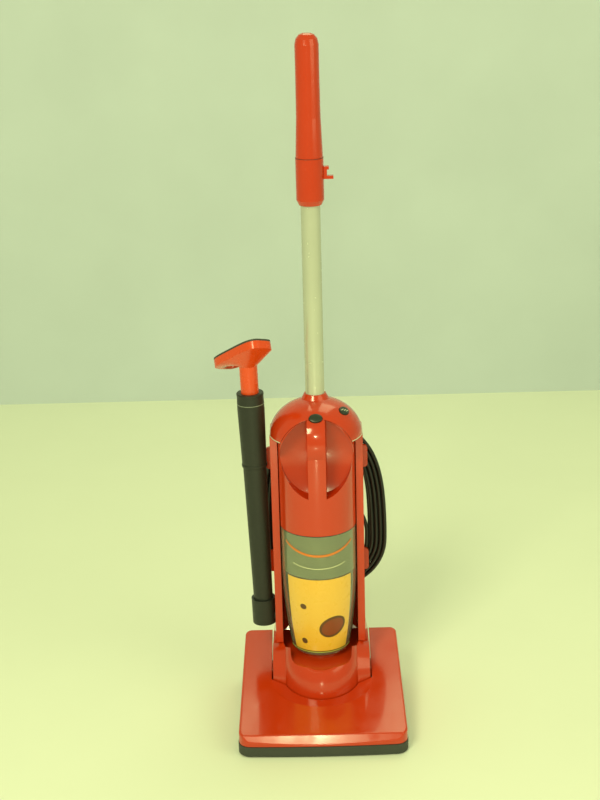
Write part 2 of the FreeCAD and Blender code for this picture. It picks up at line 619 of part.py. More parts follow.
def back_form(inset):
    """The motor housing's back: round about the pivot below, rising to the body's rear wall."""
    radius = size.back_radius - inset
    low = size.pivot_height - radius
    rear = size.body_rear - inset
    slant = math.radians(-35)
    profile = [V(0, size.bowl_split, low),
               (V(0, radius * math.cos(slant), size.pivot_height + radius * math.sin(slant)),
                V(0, radius, size.pivot_height)),
               V(0, rear, size.back_rise - 3 - inset), V(0, rear, size.back_rise - inset),
               V(0, size.bowl_split, size.back_rise - inset)]
    side = Part.Face(outline(profile)).extrude(V(300, 0, 0))
    side.translate(V(-150, 0, 0))
    foot = size.ear_half - inset
    waist = size.body_half - inset
    front = [V(-foot, -200, 0), V(-foot, -200, size.back_shoulder), V(-waist, -200, size.back_rise + 1),
             V(waist, -200, size.back_rise + 1), V(foot, -200, size.back_shoulder), V(foot, -200, 0)]
    return side.common(Part.Face(outline(front)).extrude(V(0, 400, 0)))


def make_back():
    """The back cover, with the two hollow trunnions that the body reclines on."""
    back = back_form(0).cut(back_form(size.bowl_wall))
    back = back.cut(cup_space(size.cradle_radius, size.deck_top, 300))
    for sign, side in SIDES:
        start = V(sign * (size.ear_half - size.bowl_wall), 0, size.pivot_height)
        back = back.cut(Part.makeCylinder(size.trunnion_bore, 10, start - V(sign * 3, 0, 0), V(sign, 0, 0)))
        reach = size.trunnion_length
        stub = Part.makeCylinder(size.trunnion_radius, reach, V(sign * size.ear_half, 0, size.pivot_height),
                                 V(sign, 0, 0))
        bore = Part.makeCylinder(size.trunnion_bore, reach, V(sign * size.ear_half, 0, size.pivot_height),
                                 V(sign, 0, 0))
        back = back.fuse(stub.cut(bore))
    return back


def make_deck():
    """The deck over the motor, with the ring that the dust cup stands on."""
    low = size.deck_top - size.deck_thickness
    layer = block((-200, 200), (-200, 200), (low, size.deck_top))
    gap = size.bowl_wall + size.seam / 3
    front = bowl_form(-gap, -gap).common(rim_space()).common(block((-200, 200), (-200, 0), (0, 300)))
    space = front.fuse(back_form(gap))
    ring = cup_space(size.seat_radius, size.deck_top, size.cup_bottom - size.seam)
    ring = ring.cut(cup_space(size.seat_radius - 4, 0, 300))
    grille = [Part.makeCylinder(4, 20, V(14 * math.cos(a), 14 * math.sin(a), low - 5))
              for a in (math.radians(60 * i) for i in range(6))]
    return space.common(layer).fuse(ring).cut(grille)


node("motor_bowl", feature("Bowl", make_bowl().removeSplitter()))
node("motor_back", feature("Back", make_back().removeSplitter()))
node("motor_deck", feature("Deck", make_deck().removeSplitter()))

pivot_line = ("0", "pivot_height")
node("motor_can", tube("Can", "x", "can_radius", "can_radius - can_wall", ("-can_half", "can_half"), pivot_line))
node("motor_armature", tube("Armature", "x", "armature_radius", "shaft_radius",
                            ("-armature_half", "armature_half"), pivot_line))
node("motor_shaft", lathe("Shaft", [
    ("0", "0"), ("shaft_radius", "0"), ("shaft_radius", "belt_low - 1 + fan_side + fan_width + 4"),
    ("motor_pulley_radius + 2", "belt_low - 1 + fan_side + fan_width + 4"),
    ("motor_pulley_radius + 2", "belt_low - 0.2 + fan_side + fan_width + 4"),
    ("motor_pulley_radius", "belt_low - 0.2 + fan_side + fan_width + 4"),
    ("motor_pulley_radius", "belt_low + belt_width + 0.5 + fan_side + fan_width + 4"),
    ("0", "belt_low + belt_width + 0.5 + fan_side + fan_width + 4")],
    "x", ("-fan_side - fan_width - 4", "0", "pivot_height")))
node("motor_fan", tube("Fan", "x", "fan_radius", "shaft_radius", ("-fan_side - fan_width", "-fan_side"), pivot_line))
rings = []
for sign, side in SIDES:
    x = span(sign, "can_half - ring_inset - ring_width", "can_half - ring_inset")
    ring = tube(f"mount_{side}", "x", "ring_radius", "can_radius", x, pivot_line)
    under_deck = box(f"under_deck_{side}", (f"{x[0]} - 1", f"{x[1]} + 1"), ("-ring_radius - 1", "ring_radius + 1"),
                     ("0", "deck_top - deck_thickness"))
    rings.append(meet(f"motor_mount_{side}", ring, under_deck))
node("motor_mounts", group("Mounts", *rings))


# The dust cup: a clear tapered cup with its label, foot and seal, under a red lid that holds the filter.

def turned(points, angle=360, start=0):
    """A solid turned about the Z axis from an outline given as (radius, height) steps."""
    steps = [V(p[0], 0, p[1]) if not isinstance(p[0], tuple) else tuple(V(q[0], 0, q[1]) for q in p)
             for p in points]
    solid = Part.Face(outline(steps)).revolve(V(0, 0, 0), V(0, 0, 1), angle)
    solid.rotate(V(0, 0, 0), V(0, 0, 1), start)
    return solid


def make_cup():
    """The clear cup, open at its top."""
    wall = size.cup_wall
    outer = turned([(0, size.cup_bottom)] + cup_side(0) + [(0, size.cup_top)])
    inner = turned([(0, size.cup_bottom)] + cup_side(-wall)
                   + [(size.cup_radius - wall, size.cup_top + 1), (0, size.cup_top + 1)])
    return outer.cut(inner.cut(block((-100, 100), (-100, 100), (0, size.cup_bottom + wall))))


def make_label():
    """The thin label round the front of the cup."""
    inner = turned([(0, size.cup_bottom)] + cup_side(0) + [(0, size.cup_top)])
    outer = turned([(0, size.cup_bottom)] + cup_side(size.label_thickness) + [(0, size.cup_top)])
    angle = size.label_angle
    wedge = turned([(20, size.label_low), (90, size.label_low), (90, size.label_high), (20, size.label_high)],
                   2 * angle, -90 - angle)
    return outer.cut(inner).common(wedge)


def dome_form(inset):
    """The canopy's dome, drawn in by inset, as a full ball over and under its widest level."""
    ball = Part.makeSphere(1)
    matrix = FreeCAD.Matrix()
    matrix.scale(V(size.body_half - inset, size.dome_depth - inset, size.dome_rise - inset))
    ball = ball.transformGeometry(matrix)
    ball.translate(V(0, size.dome_centre, size.body_top))
    return ball


def arch_space(radius, front, back):
    """The round opening in the canopy's front that the lid fills."""
    return Part.makeCylinder(radius, back - front, V(0, front, size.arch_height), V(0, 1, 0))


def scoop_form(grow):
    """The deep oval recess in the lid's front, where fingers reach round the grab bar."""
    ball = Part.makeSphere(1)
    matrix = FreeCAD.Matrix()
    matrix.scale(V(size.scoop_spread + grow, size.scoop_depth + grow, size.scoop_sweep + grow))
    ball = ball.transformGeometry(matrix)
    ball.translate(V(0, -size.scoop_front, size.scoop_height))
    rim = Part.Face(Part.Wire(Part.Ellipse(V(0, 0, 0), size.scoop_rise + grow, size.scoop_half + grow).toShape()))
    drum = rim.extrude(V(0, 0, 150))
    drum.Placement = FreeCAD.Placement(V(0, -120, size.scoop_height), FreeCAD.Rotation(V(0, 0, 1), V(1, 0, 0), V(0, 1, 0), "ZXY"))
    return drum.common(ball)


def lid_form(inset):
    """The lid's outer shape: a short drum whose front rises into the canopy's arch."""
    drum = cup_space(size.lid_radius - inset, size.lid_bottom, size.body_top - inset)
    back = -size.arch_back - size.arch_gap - inset
    rise = dome_form(inset).common(arch_space(size.arch_radius - size.arch_gap - inset, -100, back))
    return drum.fuse(rise.common(block((-100, 100), (-100, 100), (size.lid_bottom, 700))))


def dome_spot(x, y):
    """The point of the dome over (x, y), and the direction that faces away from it."""
    across, along = size.body_half, size.dome_depth
    y_local = y - size.dome_centre
    z = size.dome_rise * math.sqrt(1 - (x / across) ** 2 - (y_local / along) ** 2)
    away = V(x / across ** 2, y_local / along ** 2, z / size.dome_rise ** 2)
    away.normalize()
    return V(x, y, size.body_top + z), away


def oval_block(spot, away, half, rise, low, high):
    """An oval pad on the dome, from low to high along the direction away from it."""
    flat = Part.Face(Part.Wire(Part.Ellipse(V(0, 0, low), half, rise).toShape()))
    solid = flat.extrude(V(0, 0, high - low))
    across = V(0, 0, 1).cross(away)
    across.normalize()
    turn = FreeCAD.Rotation(across, away.cross(across), away, "ZXY")
    solid.Placement = FreeCAD.Placement(spot, turn)
    return solid


latch_spot, latch_away = dome_spot(0, -size.latch_front)
switch_spot, switch_away = dome_spot(size.switch_side, -size.switch_front)
button_hole = (-3 * size.button_depth, 3 * size.button_depth)


def make_lid():
    """The red lid, with its recess and the upright grab bar across it."""
    wall = size.lid_wall
    outer = lid_form(0)
    hollow = lid_form(wall).fuse(cup_space(size.lid_radius - wall, size.lid_bottom - 1, size.lid_bottom + 10))
    shell = outer.cut(hollow).fuse(scoop_form(wall).common(outer)).cut(scoop_form(0))
    bar_back = -size.lid_radius + size.bar_depth
    bar = outer.common(block((-size.bar_half, size.bar_half), (-100, bar_back), (size.lid_bottom + 5, 700)))
    lid = shell.fuse(bar.common(scoop_form(wall / 2)))
    notch = size.latch_half + size.button_gap
    crown = block((-notch - 1.5, notch + 1.5), (-size.notch_front, 0), (size.notch_low, 700))
    latch_room = oval_block(latch_spot, latch_away, notch, size.latch_rise + size.button_gap, *button_hole)
    return lid.cut([crown, latch_room])


node("dust_cup", feature("Cup", make_cup()))
node("cup_label", feature("Label", make_label()))
node("cup_seal", lathe("Seal", [
    ("cup_radius - cup_wall", "cup_top"), ("cup_radius - 0.3", "cup_top"), ("cup_radius - 0.3", "lid_bottom"),
    ("cup_radius - cup_wall", "lid_bottom")]))
node("cup_lid", feature("Lid", make_lid()))

# The filter hangs from a plate inside the lid, down into the cup.
plate_radius = "lid_radius - lid_wall - 0.1"
plate_low = "lid_bottom + 1"
node("filter_plate", lathe("FilterPlate", [
    ("plate_hole", plate_low), (plate_radius, plate_low), (plate_radius, f"{plate_low} + plate_thickness"),
    ("plate_hole", f"{plate_low} + plate_thickness")]))


def make_filter():
    """The pleated filter: a star-shaped sleeve between two end rings."""
    count = int(size.filter_pleats)
    top = size.lid_bottom + 1
    low = top - size.filter_length
    rings = []
    for radius in (size.filter_radius, size.filter_radius - 1.6):
        corners = []
        for i in range(2 * count):
            reach = radius if i % 2 == 0 else radius - (size.filter_radius - size.filter_bore) * 0.7
            turn = math.pi * i / count
            corners.append(V(reach * math.cos(turn), reach * math.sin(turn), low + 4))
        rings.append(Part.Face(Part.makePolygon(corners + corners[:1])))
    sleeve = rings[0].cut(rings[1]).extrude(V(0, 0, size.filter_length - 8))
    ends = [turned([(size.plate_hole, z), (size.filter_radius + 1, z), (size.filter_radius + 1, z + 4),
                    (size.plate_hole, z + 4)]) for z in (low, top - 4)]
    base = cup_space(size.filter_radius + 1, low, low + 2)
    return sleeve.fuse(ends + [base])


node("pleated_filter", feature("Filter", make_filter()))


# The rear housing: a hollow spine behind the cup, with a rail at each side and the cord's back wings.

def housing_prism(inset, low, high):
    """The housing's section: a rounded rear and a flat front at the rails."""
    half, rear = size.body_half - inset, size.body_rear - inset
    radius = size.body_corner - inset
    front = -size.rail_front + inset
    bend = radius * (1 - math.sqrt(0.5))
    wire = outline([V(-half, front, low), V(half, front, low), V(half, rear - radius, low),
                    (V(half - bend, rear - bend, low), V(half - radius, rear, low)), V(radius - half, rear, low),
                    (V(bend - half, rear - bend, low), V(-half, rear - radius, low))])
    return Part.Face(wire).extrude(V(0, 0, high - low))


def screw_spots():
    """Where the housing's four screws sit on its rear face, as (x, z)."""
    side = size.body_half - size.body_corner
    return [(sign * side, z) for sign in (-1, 1) for z in (size.back_rise + 14, size.body_top - 14)]


def vent_slots(front, back):
    """The exhaust's upright slots, through the housing's rear face."""
    low = size.back_rise + 8
    return [block((x - 1.5, x + 1.5), (front, back), (low, low + 22)) for x in range(-30, 31, 6)]


def make_housing():
    """The spine: an outer skin, a cradle round the cup, closed ends, and two wings behind the cord."""
    wall = size.body_wall
    low, high = size.back_rise, size.body_top
    outer = housing_prism(0, low, high)
    rails = housing_prism(0, size.rail_bottom, low).common(block((-100, 100), (-100, size.bowl_split), (0, 300)))
    rails = rails.cut(bowl_form(size.seam / 3, 50))
    hollow = housing_prism(wall, low + wall, high - wall).cut(cup_space(size.cradle_radius + wall, 0, high + 1))
    body = outer.fuse(rails).cut(hollow).cut(cup_space(size.cradle_radius, 0, high + 1))
    half, deep = size.wing_half, size.wing_thickness
    for centre in (size.upper_hook_height, size.lower_hook_height):
        wing = block((-half, half), (size.body_rear - deep, size.body_rear),
                     (centre - size.wing_height / 2, centre + size.wing_height / 2))
        edges = [e for e in wing.Edges if e.BoundBox.YLength > deep - 0.1]
        body = body.fuse(wing.makeFillet(6, edges).cut(housing_prism(wall, 0, high)))
    shanks = [Part.makeCylinder(size.screw_radius, 20, V(x, size.body_rear - 10, z), V(0, 1, 0))
              for x, z in screw_spots()]
    hooks = [Part.makeCylinder(size.hook_screw_radius, 20, V(0, size.body_rear - 10, z), V(0, 1, 0))
             for z in (size.upper_hook_height, size.lower_hook_height)]
    passage = Part.makeCylinder(size.passage_radius, 20, V(-90, size.wand_back, size.passage_height), V(1, 0, 0))
    return body.cut(shanks + hooks + [passage] + vent_slots(size.body_rear - 2 * wall, size.body_rear + 1))


node("rear_housing", feature("Housing", make_housing().removeSplitter()))

# Exhaust: a foam filter inside the housing's rear face and a slotted cover outside it.
vent_low, vent_high = "back_rise + 5", "back_rise + 33"
node("exhaust_filter", box("ExhaustFilter", ("-34", "34"), ("body_rear - body_wall - 4.5", "body_rear - body_wall"),
                           (vent_low, vent_high)))
cover = box("CoverPlate", ("-38", "38"), ("body_rear", "body_rear + 2"), ("back_rise + 3", "back_rise + 35"))
slots = feature("CoverSlots", Part.makeCompound(vent_slots(size.body_rear - 1, size.body_rear + 3)))
node("exhaust_cover", cut("ExhaustCover", cover, slots))


def rocker_pin():
    """The pin that the switch rocks on, which crosses its short way and ends just clear of the dome."""
    across = V(0, 0, 1).cross(switch_away)
    across.normalize()
    along = switch_away.cross(across)
    reach = size.switch_rise + size.button_gap - size.rocker_clear
    middle = switch_spot - switch_away * size.rocker_depth
    return Part.makeCylinder(size.rocker_radius, 2 * reach, middle - along * reach, along)


def make_canopy():
    """The domed top of the body: a shell with the arch for the lid, a socket for the tube and two buttons."""
    wall = size.dome_wall
    low = size.canopy_bottom
    dome = dome_form(0).common(block((-200, 200), (-200, 200), (low, 700)))
    arch = arch_space(size.arch_radius + wall, -100, -size.arch_back + wall)
    socket = size.tube_radius + size.boss_wall
    boss = Part.makeCylinder(socket, 80, V(0, size.tube_back, low))
    hollow = dome_form(wall).cut(arch).cut(boss)
    canopy = dome.cut(hollow).cut(arch_space(size.arch_radius, -100, -size.arch_back))
    crest = dome_spot(0, size.tube_back)[0].z
    rise = size.socket_rise
    flare = Part.makeCone(socket + size.socket_flare, size.tube_radius + size.boss_wall / 2, 2 * rise,
                          V(0, size.tube_back, crest - rise))
    canopy = canopy.fuse(flare)
    tube_hole = Part.makeCylinder(size.tube_radius + size.fit_gap, 100, V(0, size.tube_back, size.tube_bottom))
    gap = size.button_gap
    latch_hole = oval_block(latch_spot, latch_away, size.latch_half + gap, size.latch_rise + gap, *button_hole)
    switch_hole = oval_block(switch_spot, switch_away, size.switch_half + gap, size.switch_rise + gap, *button_hole)
    for hole in (tube_hole, latch_hole, switch_hole):
        canopy = canopy.cut(hole)
    return canopy


node("canopy", feature("Canopy", make_canopy()))
node("latch_button", feature("Latch", oval_block(latch_spot, latch_away, size.latch_half, size.latch_rise,
                                                 -size.button_depth, size.latch_proud)))
rocker = oval_block(switch_spot, switch_away, size.switch_half, size.switch_rise, -size.button_depth, size.switch_proud)
node("power_switch", feature("Switch", rocker.fuse(rocker_pin())))

# Handle: a steel tube in the canopy's socket, with a collar and a rounded grip over its top.
tube_spot = ("0", "tube_back")
node("handle_tube", tube("Tube", "z", "tube_radius", "tube_radius - tube_wall", ("tube_bottom", "tube_top"),
                         tube_spot))
handle_spot = ("0", "tube_back", "0")
collar = lathe("Collar", [
    ("collar_bore", "collar_bottom"), ("collar_radius - 4", "collar_bottom"), ("collar_radius", "collar_bottom + 8"),
    ("collar_radius", "collar_top"), ("collar_bore", "collar_top")], "z", handle_spot)
screw_hole = rod("ScrewHole", "y", "screw_radius", ("tube_back + tube_radius - 3", "tube_back + collar_radius + 1"),
                 ("0", "collar_bottom + 30"))
node("handle_collar", cut("CollarPiece", collar, screw_hole))
node("handle_grip", lathe("Grip", [
    ("collar_bore", "collar_top"), ("collar_radius - 0.6", "collar_top"), ("grip_neck", "collar_top + 30"),
    ("grip_radius + 0.5", "grip_waist"), ("grip_radius", "grip_waist + 60"), ("grip_radius", "grip_top - 17"),
    ("grip_radius - 2", "grip_top - 8"), ("grip_radius - 7", "grip_top - 2"), ("grip_radius - 12", "grip_top"),
    ("0", "grip_top"), ("0", "tube_top + 1"), ("collar_bore", "tube_top + 1")], "z", handle_spot))
screw_head = rod("ScrewHead", "y", "screw_head_radius", ("tube_back + collar_radius", "tube_back + collar_radius + head_height"),
                 ("0", "collar_bottom + 30"))
screw_shank = rod("ScrewShank", "y", "screw_radius - fit_gap", ("tube_back + tube_radius + fit_gap", "tube_back + collar_radius"),
                  ("0", "collar_bottom + 30"))
node("collar_screw", join("CollarScrew", screw_head, screw_shank))
prongs = [box("ProngPost", ("collar_radius - 0.5", "collar_radius + 5"), ("tube_back - 5", "tube_back + 5"),
              ("collar_bottom + 41", "collar_bottom + 61")),
          box("UpperProng", ("collar_radius", "collar_radius + 8"), ("tube_back - 5", "tube_back + 5"),
              ("collar_bottom + 56", "collar_bottom + 61")),
          box("LowerProng", ("collar_radius", "collar_radius + 15"), ("tube_back - 5", "tube_back + 5"),
              ("collar_bottom + 41", "collar_bottom + 46"))]
clip_room = rod("ClipRoom", "z", "collar_radius", ("collar_bottom + 30", "collar_bottom + 70"), tube_spot)
node("cord_clip", cut("CordClip", join("ClipBody", *prongs), clip_room))

# Screws of the housing and the hooks, driven from the rear.
screws = []
for i, (x, z) in enumerate(screw_spots()):
    head = Part.makeCylinder(size.screw_head_radius, size.head_height, V(x, size.body_rear, z), V(0, 1, 0))
    shank = Part.makeCylinder(size.screw_radius, size.body_wall, V(x, size.body_rear - size.body_wall, z), V(0, 1, 0))
    screws.append(feature(f"housing_screw_{i}", head.fuse(shank)))
for name, height in (("upper", "upper_hook_height"), ("lower", "lower_hook_height")):
    shank = rod(f"{name}_hook_shank", "y", "hook_screw_radius",
                ("body_rear - body_wall - head_height", "hook_end + hook_lip"), ("0", height))
    head = rod(f"{name}_hook_head", "y", "hook_head_radius",
               ("body_rear - body_wall - head_height", "body_rear - body_wall"), ("0", height))
    tail = rod(f"{name}_hook_tail", "y", "hook_head_radius",
               ("hook_end + hook_lip", "hook_end + hook_lip + head_height"), ("0", height))
    screws.append(join(f"{name}_hook_screw", shank, head, tail))
node("body_screws", group("Screws", *screws))

# Cord hooks: a round post with a lip behind the hank. The upper one turns to let the cord drop off.
for name, height, sign in (("upper", "upper_hook_height", 1), ("lower", "lower_hook_height", -1)):
    post = rod(f"{name}_post", "y", "hook_radius", ("body_rear + seam", "hook_end"), ("0", height))
    tip = ("0", "hook_radius + hook_overlap")
    low, high = (tip if sign > 0 else (f"-({tip[1]})", "0"))
    lip = box(f"{name}_lip", ("-hook_half", "hook_half"), ("hook_end", "hook_end + hook_lip"),
              (f"{height} + {low}", f"{height} + {high}"))
    back = rod(f"{name}_back", "y", "hook_radius", ("hook_end", "hook_end + hook_lip"), ("0", height))
    hole = rod(f"{name}_hook_hole", "y", "hook_screw_radius + running_gap",
               ("body_rear - 1", "hook_end + hook_lip + 1"), ("0", height))
    node(f"cord_hook_{name}", cut(f"{name}_hook", join(f"{name}_hook_body", post, back, lip), hole))


# The supply cord: out of a gland on the housing, wound round the two hooks, and ending in its plug.

def bend(start, corner, end):
    """The arc that leaves start towards corner and reaches end, both equally far from the corner."""
    reach = start.distanceToPoint(corner)
    back, ahead = (start - corner) / reach, (end - corner) / reach
    inward = back + ahead
    inward.normalize()
    half = inward.getAngle(back)
    middle = corner + inward * (reach / math.cos(half) - reach * math.tan(half))
    return Part.Arc(start, middle, end).toShape(), reach * math.tan(half)


def cord_sweep(edges, radius):
    """A round tube along a path of straight and round edges."""
    path = Part.Wire(edges)
    start = edges[0].Vertexes[0].Point
    along = edges[0].tangentAt(edges[0].FirstParameter)
    ring = Part.Wire(Part.Circle(start, along, radius).toShape())
    return path.makePipeShell([ring], True, False), path.Length


def loose_cord(name, points, radius):
    """A limp cord through points: straight runs with a tangent arc at each turn."""
    edges = []
    last = points[0]
    radii = []
    for before, corner, after in zip(points, points[1:], points[2:]):
        run = min(before.distanceToPoint(corner), corner.distanceToPoint(after)) * 0.45
        start = corner + (before - corner).normalize() * run
        end = corner + (after - corner).normalize() * run
        arc, bend_radius = bend(start, corner, end)
        radii.append(round(bend_radius, 1))
        edges += [Part.LineSegment(last, start).toShape(), arc]
        last = end
    edges.append(Part.LineSegment(last, points[-1]).toShape())
    solid, length = cord_sweep(edges, radius)
    expected = math.pi * radius ** 2 * length
    print(name, "radii", radii, "volume ratio", round(solid.Volume / expected, 4))
    return solid


def two_arcs(start, along, end, onward):
    """Two tangent arcs from start to end, leaving along one direction and arriving along another."""
    step, both, turned_by = end - start, along + onward, 1 - along.dot(onward)
    slope = step.dot(both)
    reach = (math.sqrt(slope ** 2 + 2 * turned_by * step.dot(step)) - slope) / (2 * turned_by)
    corner_in, corner_out = start + along * reach, end - onward * reach
    joint = (corner_in + corner_out) / 2
    return joint, [bend(start, corner_in, joint)[0], bend(joint, corner_out, end)[0]]


def wound_path():
    """The hank's path: it spirals out, climbs a layer at its lower end and spirals back in."""
    turns, pitch, straight = size.hank_turns, size.hank_pitch, 2 * size.cord_radius
    middle, right, widest = size.hank_middle, size.hank_inner_right, size.hank_widest
    sides = [(V(right, 0, widest), V(0, 0, -1)), (V(middle, 0, size.hank_inner_bottom), V(-1, 0, 0)),
             (V(2 * middle - right, 0, widest), V(0, 0, 1)), (V(middle, 0, size.hank_inner_top), V(1, 0, 0))]
    places_round = []
    for i, (start, along) in enumerate(sides):
        end, onward = sides[(i + 1) % 4]
        joint, arcs = two_arcs(start, along, end, onward)
        places_round += [(start, along), (joint, arcs[0].tangentAt(arcs[0].LastParameter))]
    count = int(16 * turns + 4)
    spots = []
    for i in range(count + 1):
        turn = i / 8
        grow = min(turn, count / 8 - turn) if 0 < i < count else -size.cord_start
        rise = min(max((turn - turns) * 2, 0), 1)
        place, along = places_round[i % 8]
        outward = V(-along.z, 0, along.x)
        spot = place + outward * (grow * pitch) + V(0, size.hank_first + rise * pitch, 0)
        if i in (0, count):
            spot.z -= straight
        climb = size.climb_slope if 0 < rise < 1 else 0
        spots.append((spot, V(along.x, climb, along.z).normalize()))
    first, last = spots[0][0], spots[-1][0]
    edges = [Part.LineSegment(first + V(0, 0, straight), first).toShape()]
    for (start, along), (end, onward) in zip(spots, spots[1:]):
        edges += two_arcs(start, along, end, onward)[1]
    edges.append(Part.LineSegment(last, last + V(0, 0, straight)).toShape())
    return edges


def least_gap(edges, radius):
    """The least clear distance between turns, measured on points along the path."""
    points, walked = [], 0
    for edge in edges:
        count = max(2, int(edge.Length / 3))
        for i in range(count):
            parameter = edge.getParameterByLength(edge.Length * i / count)
            place = edge.valueAt(parameter)
            points.append((place.x, place.y, place.z, walked + edge.Length * i / count))
        walked += edge.Length
    least = 1e9
    for i, (x, y, z, at) in enumerate(points):
        for u, v, w, there in points[i + 1:]:
            if there - at > 60:
                least = min(least, (x - u) ** 2 + (y - v) ** 2 + (z - w) ** 2)
    return math.sqrt(least) - 2 * radius


wire = wound_path()
coil, coil_length = cord_sweep(wire, size.cord_radius)
print("hank length", round(coil_length), "least gap", round(least_gap(wire, size.cord_radius), 2),
      "volume ratio", round(coil.Volume / (math.pi * size.cord_radius ** 2 * coil_length), 4))
node("cord_hank", feature("Hank", coil))

hank_start = size.hank_inner_right - size.cord_start * size.hank_pitch
lead_points = [V(size.gland_side, 0, size.gland_low), V(size.gland_side + 1, 0, size.gland_low - 27),
               V(54, 0, 345), V(74, 0, 321), V(hank_start, 0, 294), V(hank_start, 0, size.hank_widest)]
lead_points = [p + V(0, size.hank_first, 0) for p in lead_points]
node("cord_lead", feature("Lead", loose_cord("lead", lead_points, size.cord_radius)))
hank_end = 2 * size.hank_middle - hank_start
hank_second = size.hank_first + size.hank_pitch
tail_points = [V(hank_end, hank_second, size.hank_widest), V(hank_end, hank_second, size.hank_widest + 18),
               V(-57, 90.5, 305), V(-43, 88, 319), V(size.plug_side, size.plug_back, 330),
               V(size.plug_side, size.plug_back, size.plug_low)]
node("cord_tail", feature("Tail", loose_cord("tail", tail_points, size.cord_radius)))


def make_gland():
    """The strain relief on the housing, a tapering block that the cord leaves at its lower end."""
    half, low, top = size.gland_half, size.gland_low, size.gland_low + size.gland_length
    side = size.gland_side
    wall = size.body_rear
    back = size.hank_first + size.cord_radius + 1.5
    profile = outline([V(side - half, wall, low), V(side - half, wall, top), V(side - half, back - 3, top),
                       V(side - half, back, top - 5), V(side - half, back, low)])
    solid = Part.Face(profile).extrude(V(2 * half, 0, 0))
    return solid


node("strain_relief", feature("Gland", make_gland()))


def make_plug():
    """The two-blade plug, its body with rounded edges."""
    x, y, low = size.plug_side, size.plug_back, size.plug_low
    half, deep, top = size.plug_half, size.plug_half_depth, size.plug_low + size.plug_length
    shell = block((x - half, x + half), (y - deep, y + deep), (low, top))
    uprights = [e for e in shell.Edges if e.BoundBox.ZLength > 1]
    shell = shell.makeFillet(4, uprights)
    wide, thin = size.blade_half_width, size.blade_half_thickness
    blades = [block((x + side - thin, x + side + thin), (y - wide, y + wide), (top, top + size.blade_length))
              for side in (-size.blade_side, size.blade_side)]
    return Part.makeCompound([shell] + blades)


node("plug", feature("Plug", make_plug()))


# The wand at the left side, leaning a little outwards, with its hose, its holder and the upholstery tool.

TURNED["wand"] = FreeCAD.Rotation(V(0, 1, 0), -size.wand_lean)
wand_spot = ("-wand_side", "wand_back", "wand_foot")
collar_ring = lathe("HolderCup", [
    ("0", "0"), ("holder_radius", "0"), ("holder_radius", "holder_depth"), ("wand_end_radius + fit_gap", "holder_depth"),
    ("wand_end_radius + fit_gap", "hose_start"), ("hose_bore", "hose_start"), ("hose_bore", "holder_floor"),
    ("0", "holder_floor")], "wand", wand_spot)
elbow = rod("Elbow", "x", "passage_radius + 2.5", ("-wand_side + 12", "-body_half"), ("wand_back", "passage_height"))
passage = rod("Passage", "x", "passage_radius", ("-wand_side", "-body_half + 1"), ("wand_back", "passage_height"))
wand_room = lathe("WandRoom", [
    ("0", "hose_start"), ("wand_end_radius + fit_gap", "hose_start"), ("wand_end_radius + fit_gap", "holder_depth + 1"),
    ("0", "holder_depth + 1")], "wand", wand_spot)
housing_side = box("HousingSide", ("-body_half", "0"), ("-body_rear", "body_rear"), ("body_wall", "body_top"))
node("wand_holder", cut("Holder", join("HolderBody", collar_ring, elbow), passage, wand_room, housing_side))
node("stretch_hose", lathe("Hose", [
    ("hose_bore", "hose_start"), ("hose_radius", "hose_start"), ("hose_radius", "hose_start + hose_length"),
    ("hose_bore", "hose_start + hose_length")], "wand", wand_spot))
node("wand_lower", lathe("WandLower", [
    ("wand_end_radius - wand_wall", "hose_start + 0.3"), ("wand_end_radius", "hose_start + 0.3"),
    ("wand_end_radius", "holder_depth"), ("wand_mouth_radius", "wand_joint"),
    ("spigot_radius + running_gap", "wand_joint"),
    ("spigot_radius + running_gap", "wand_joint - spigot_length - 1"),
    ("spigot_radius - 0.3", "wand_joint - spigot_length - 1"),
    ("wand_end_radius - wand_wall", "holder_depth")], "wand", wand_spot))
node("wand_upper", lathe("WandUpper", [
    ("spigot_radius - wand_wall", "wand_joint - spigot_length"), ("spigot_radius", "wand_joint - spigot_length"),
    ("spigot_radius", "wand_joint + 0.3"), ("upper_radius", "wand_joint + 0.3"),
    ("upper_swell", "upper_top - 29"), ("upper_swell - 0.8", "upper_top"), ("neck_radius + running_gap", "upper_top"),
    ("neck_radius + running_gap", "upper_top - neck_grip - 2"), ("upper_swell - wand_wall", "upper_top - 22"),
    ("upper_swell - wand_wall", "upper_top - 29"), ("upper_radius - wand_wall", "wand_joint + 10"),
    ("spigot_radius - wand_wall", "wand_joint + 5")], "wand", wand_spot))

wand_frame = FreeCAD.Placement(V(-size.wand_side, size.wand_back, size.wand_foot), TURNED["wand"])


def mouth_frame(along):
    """The tool's mouth, skewed against the wand, at a distance along it."""
    turn = FreeCAD.Rotation(V(0, 0, 1), size.tool_yaw) * FreeCAD.Rotation(V(0, 1, 0), -size.tool_skew)
    turn = turn * FreeCAD.Rotation(V(1, 0, 0), -size.tool_tilt)
    return wand_frame * FreeCAD.Placement(V(size.tool_side, size.tool_back, along), turn)


def ring_wire(frame, half, deep):
    """A closed smooth wire: a circle, or a flat oval where half is more than deep."""
    points = []
    for i in range(32):
        turn = 2 * math.pi * i / 32
        across, up = math.cos(turn), math.sin(turn)
        flat = 1 if half == deep else 0.5
        reach = half * math.copysign(abs(across) ** flat, across)
        points.append(frame.multVec(V(reach, deep * math.copysign(abs(up) ** flat, up), 0)))
    curve = Part.BSplineCurve()
    curve.interpolate(Points=points, PeriodicFlag=True)
    return Part.Wire(curve.toShape())


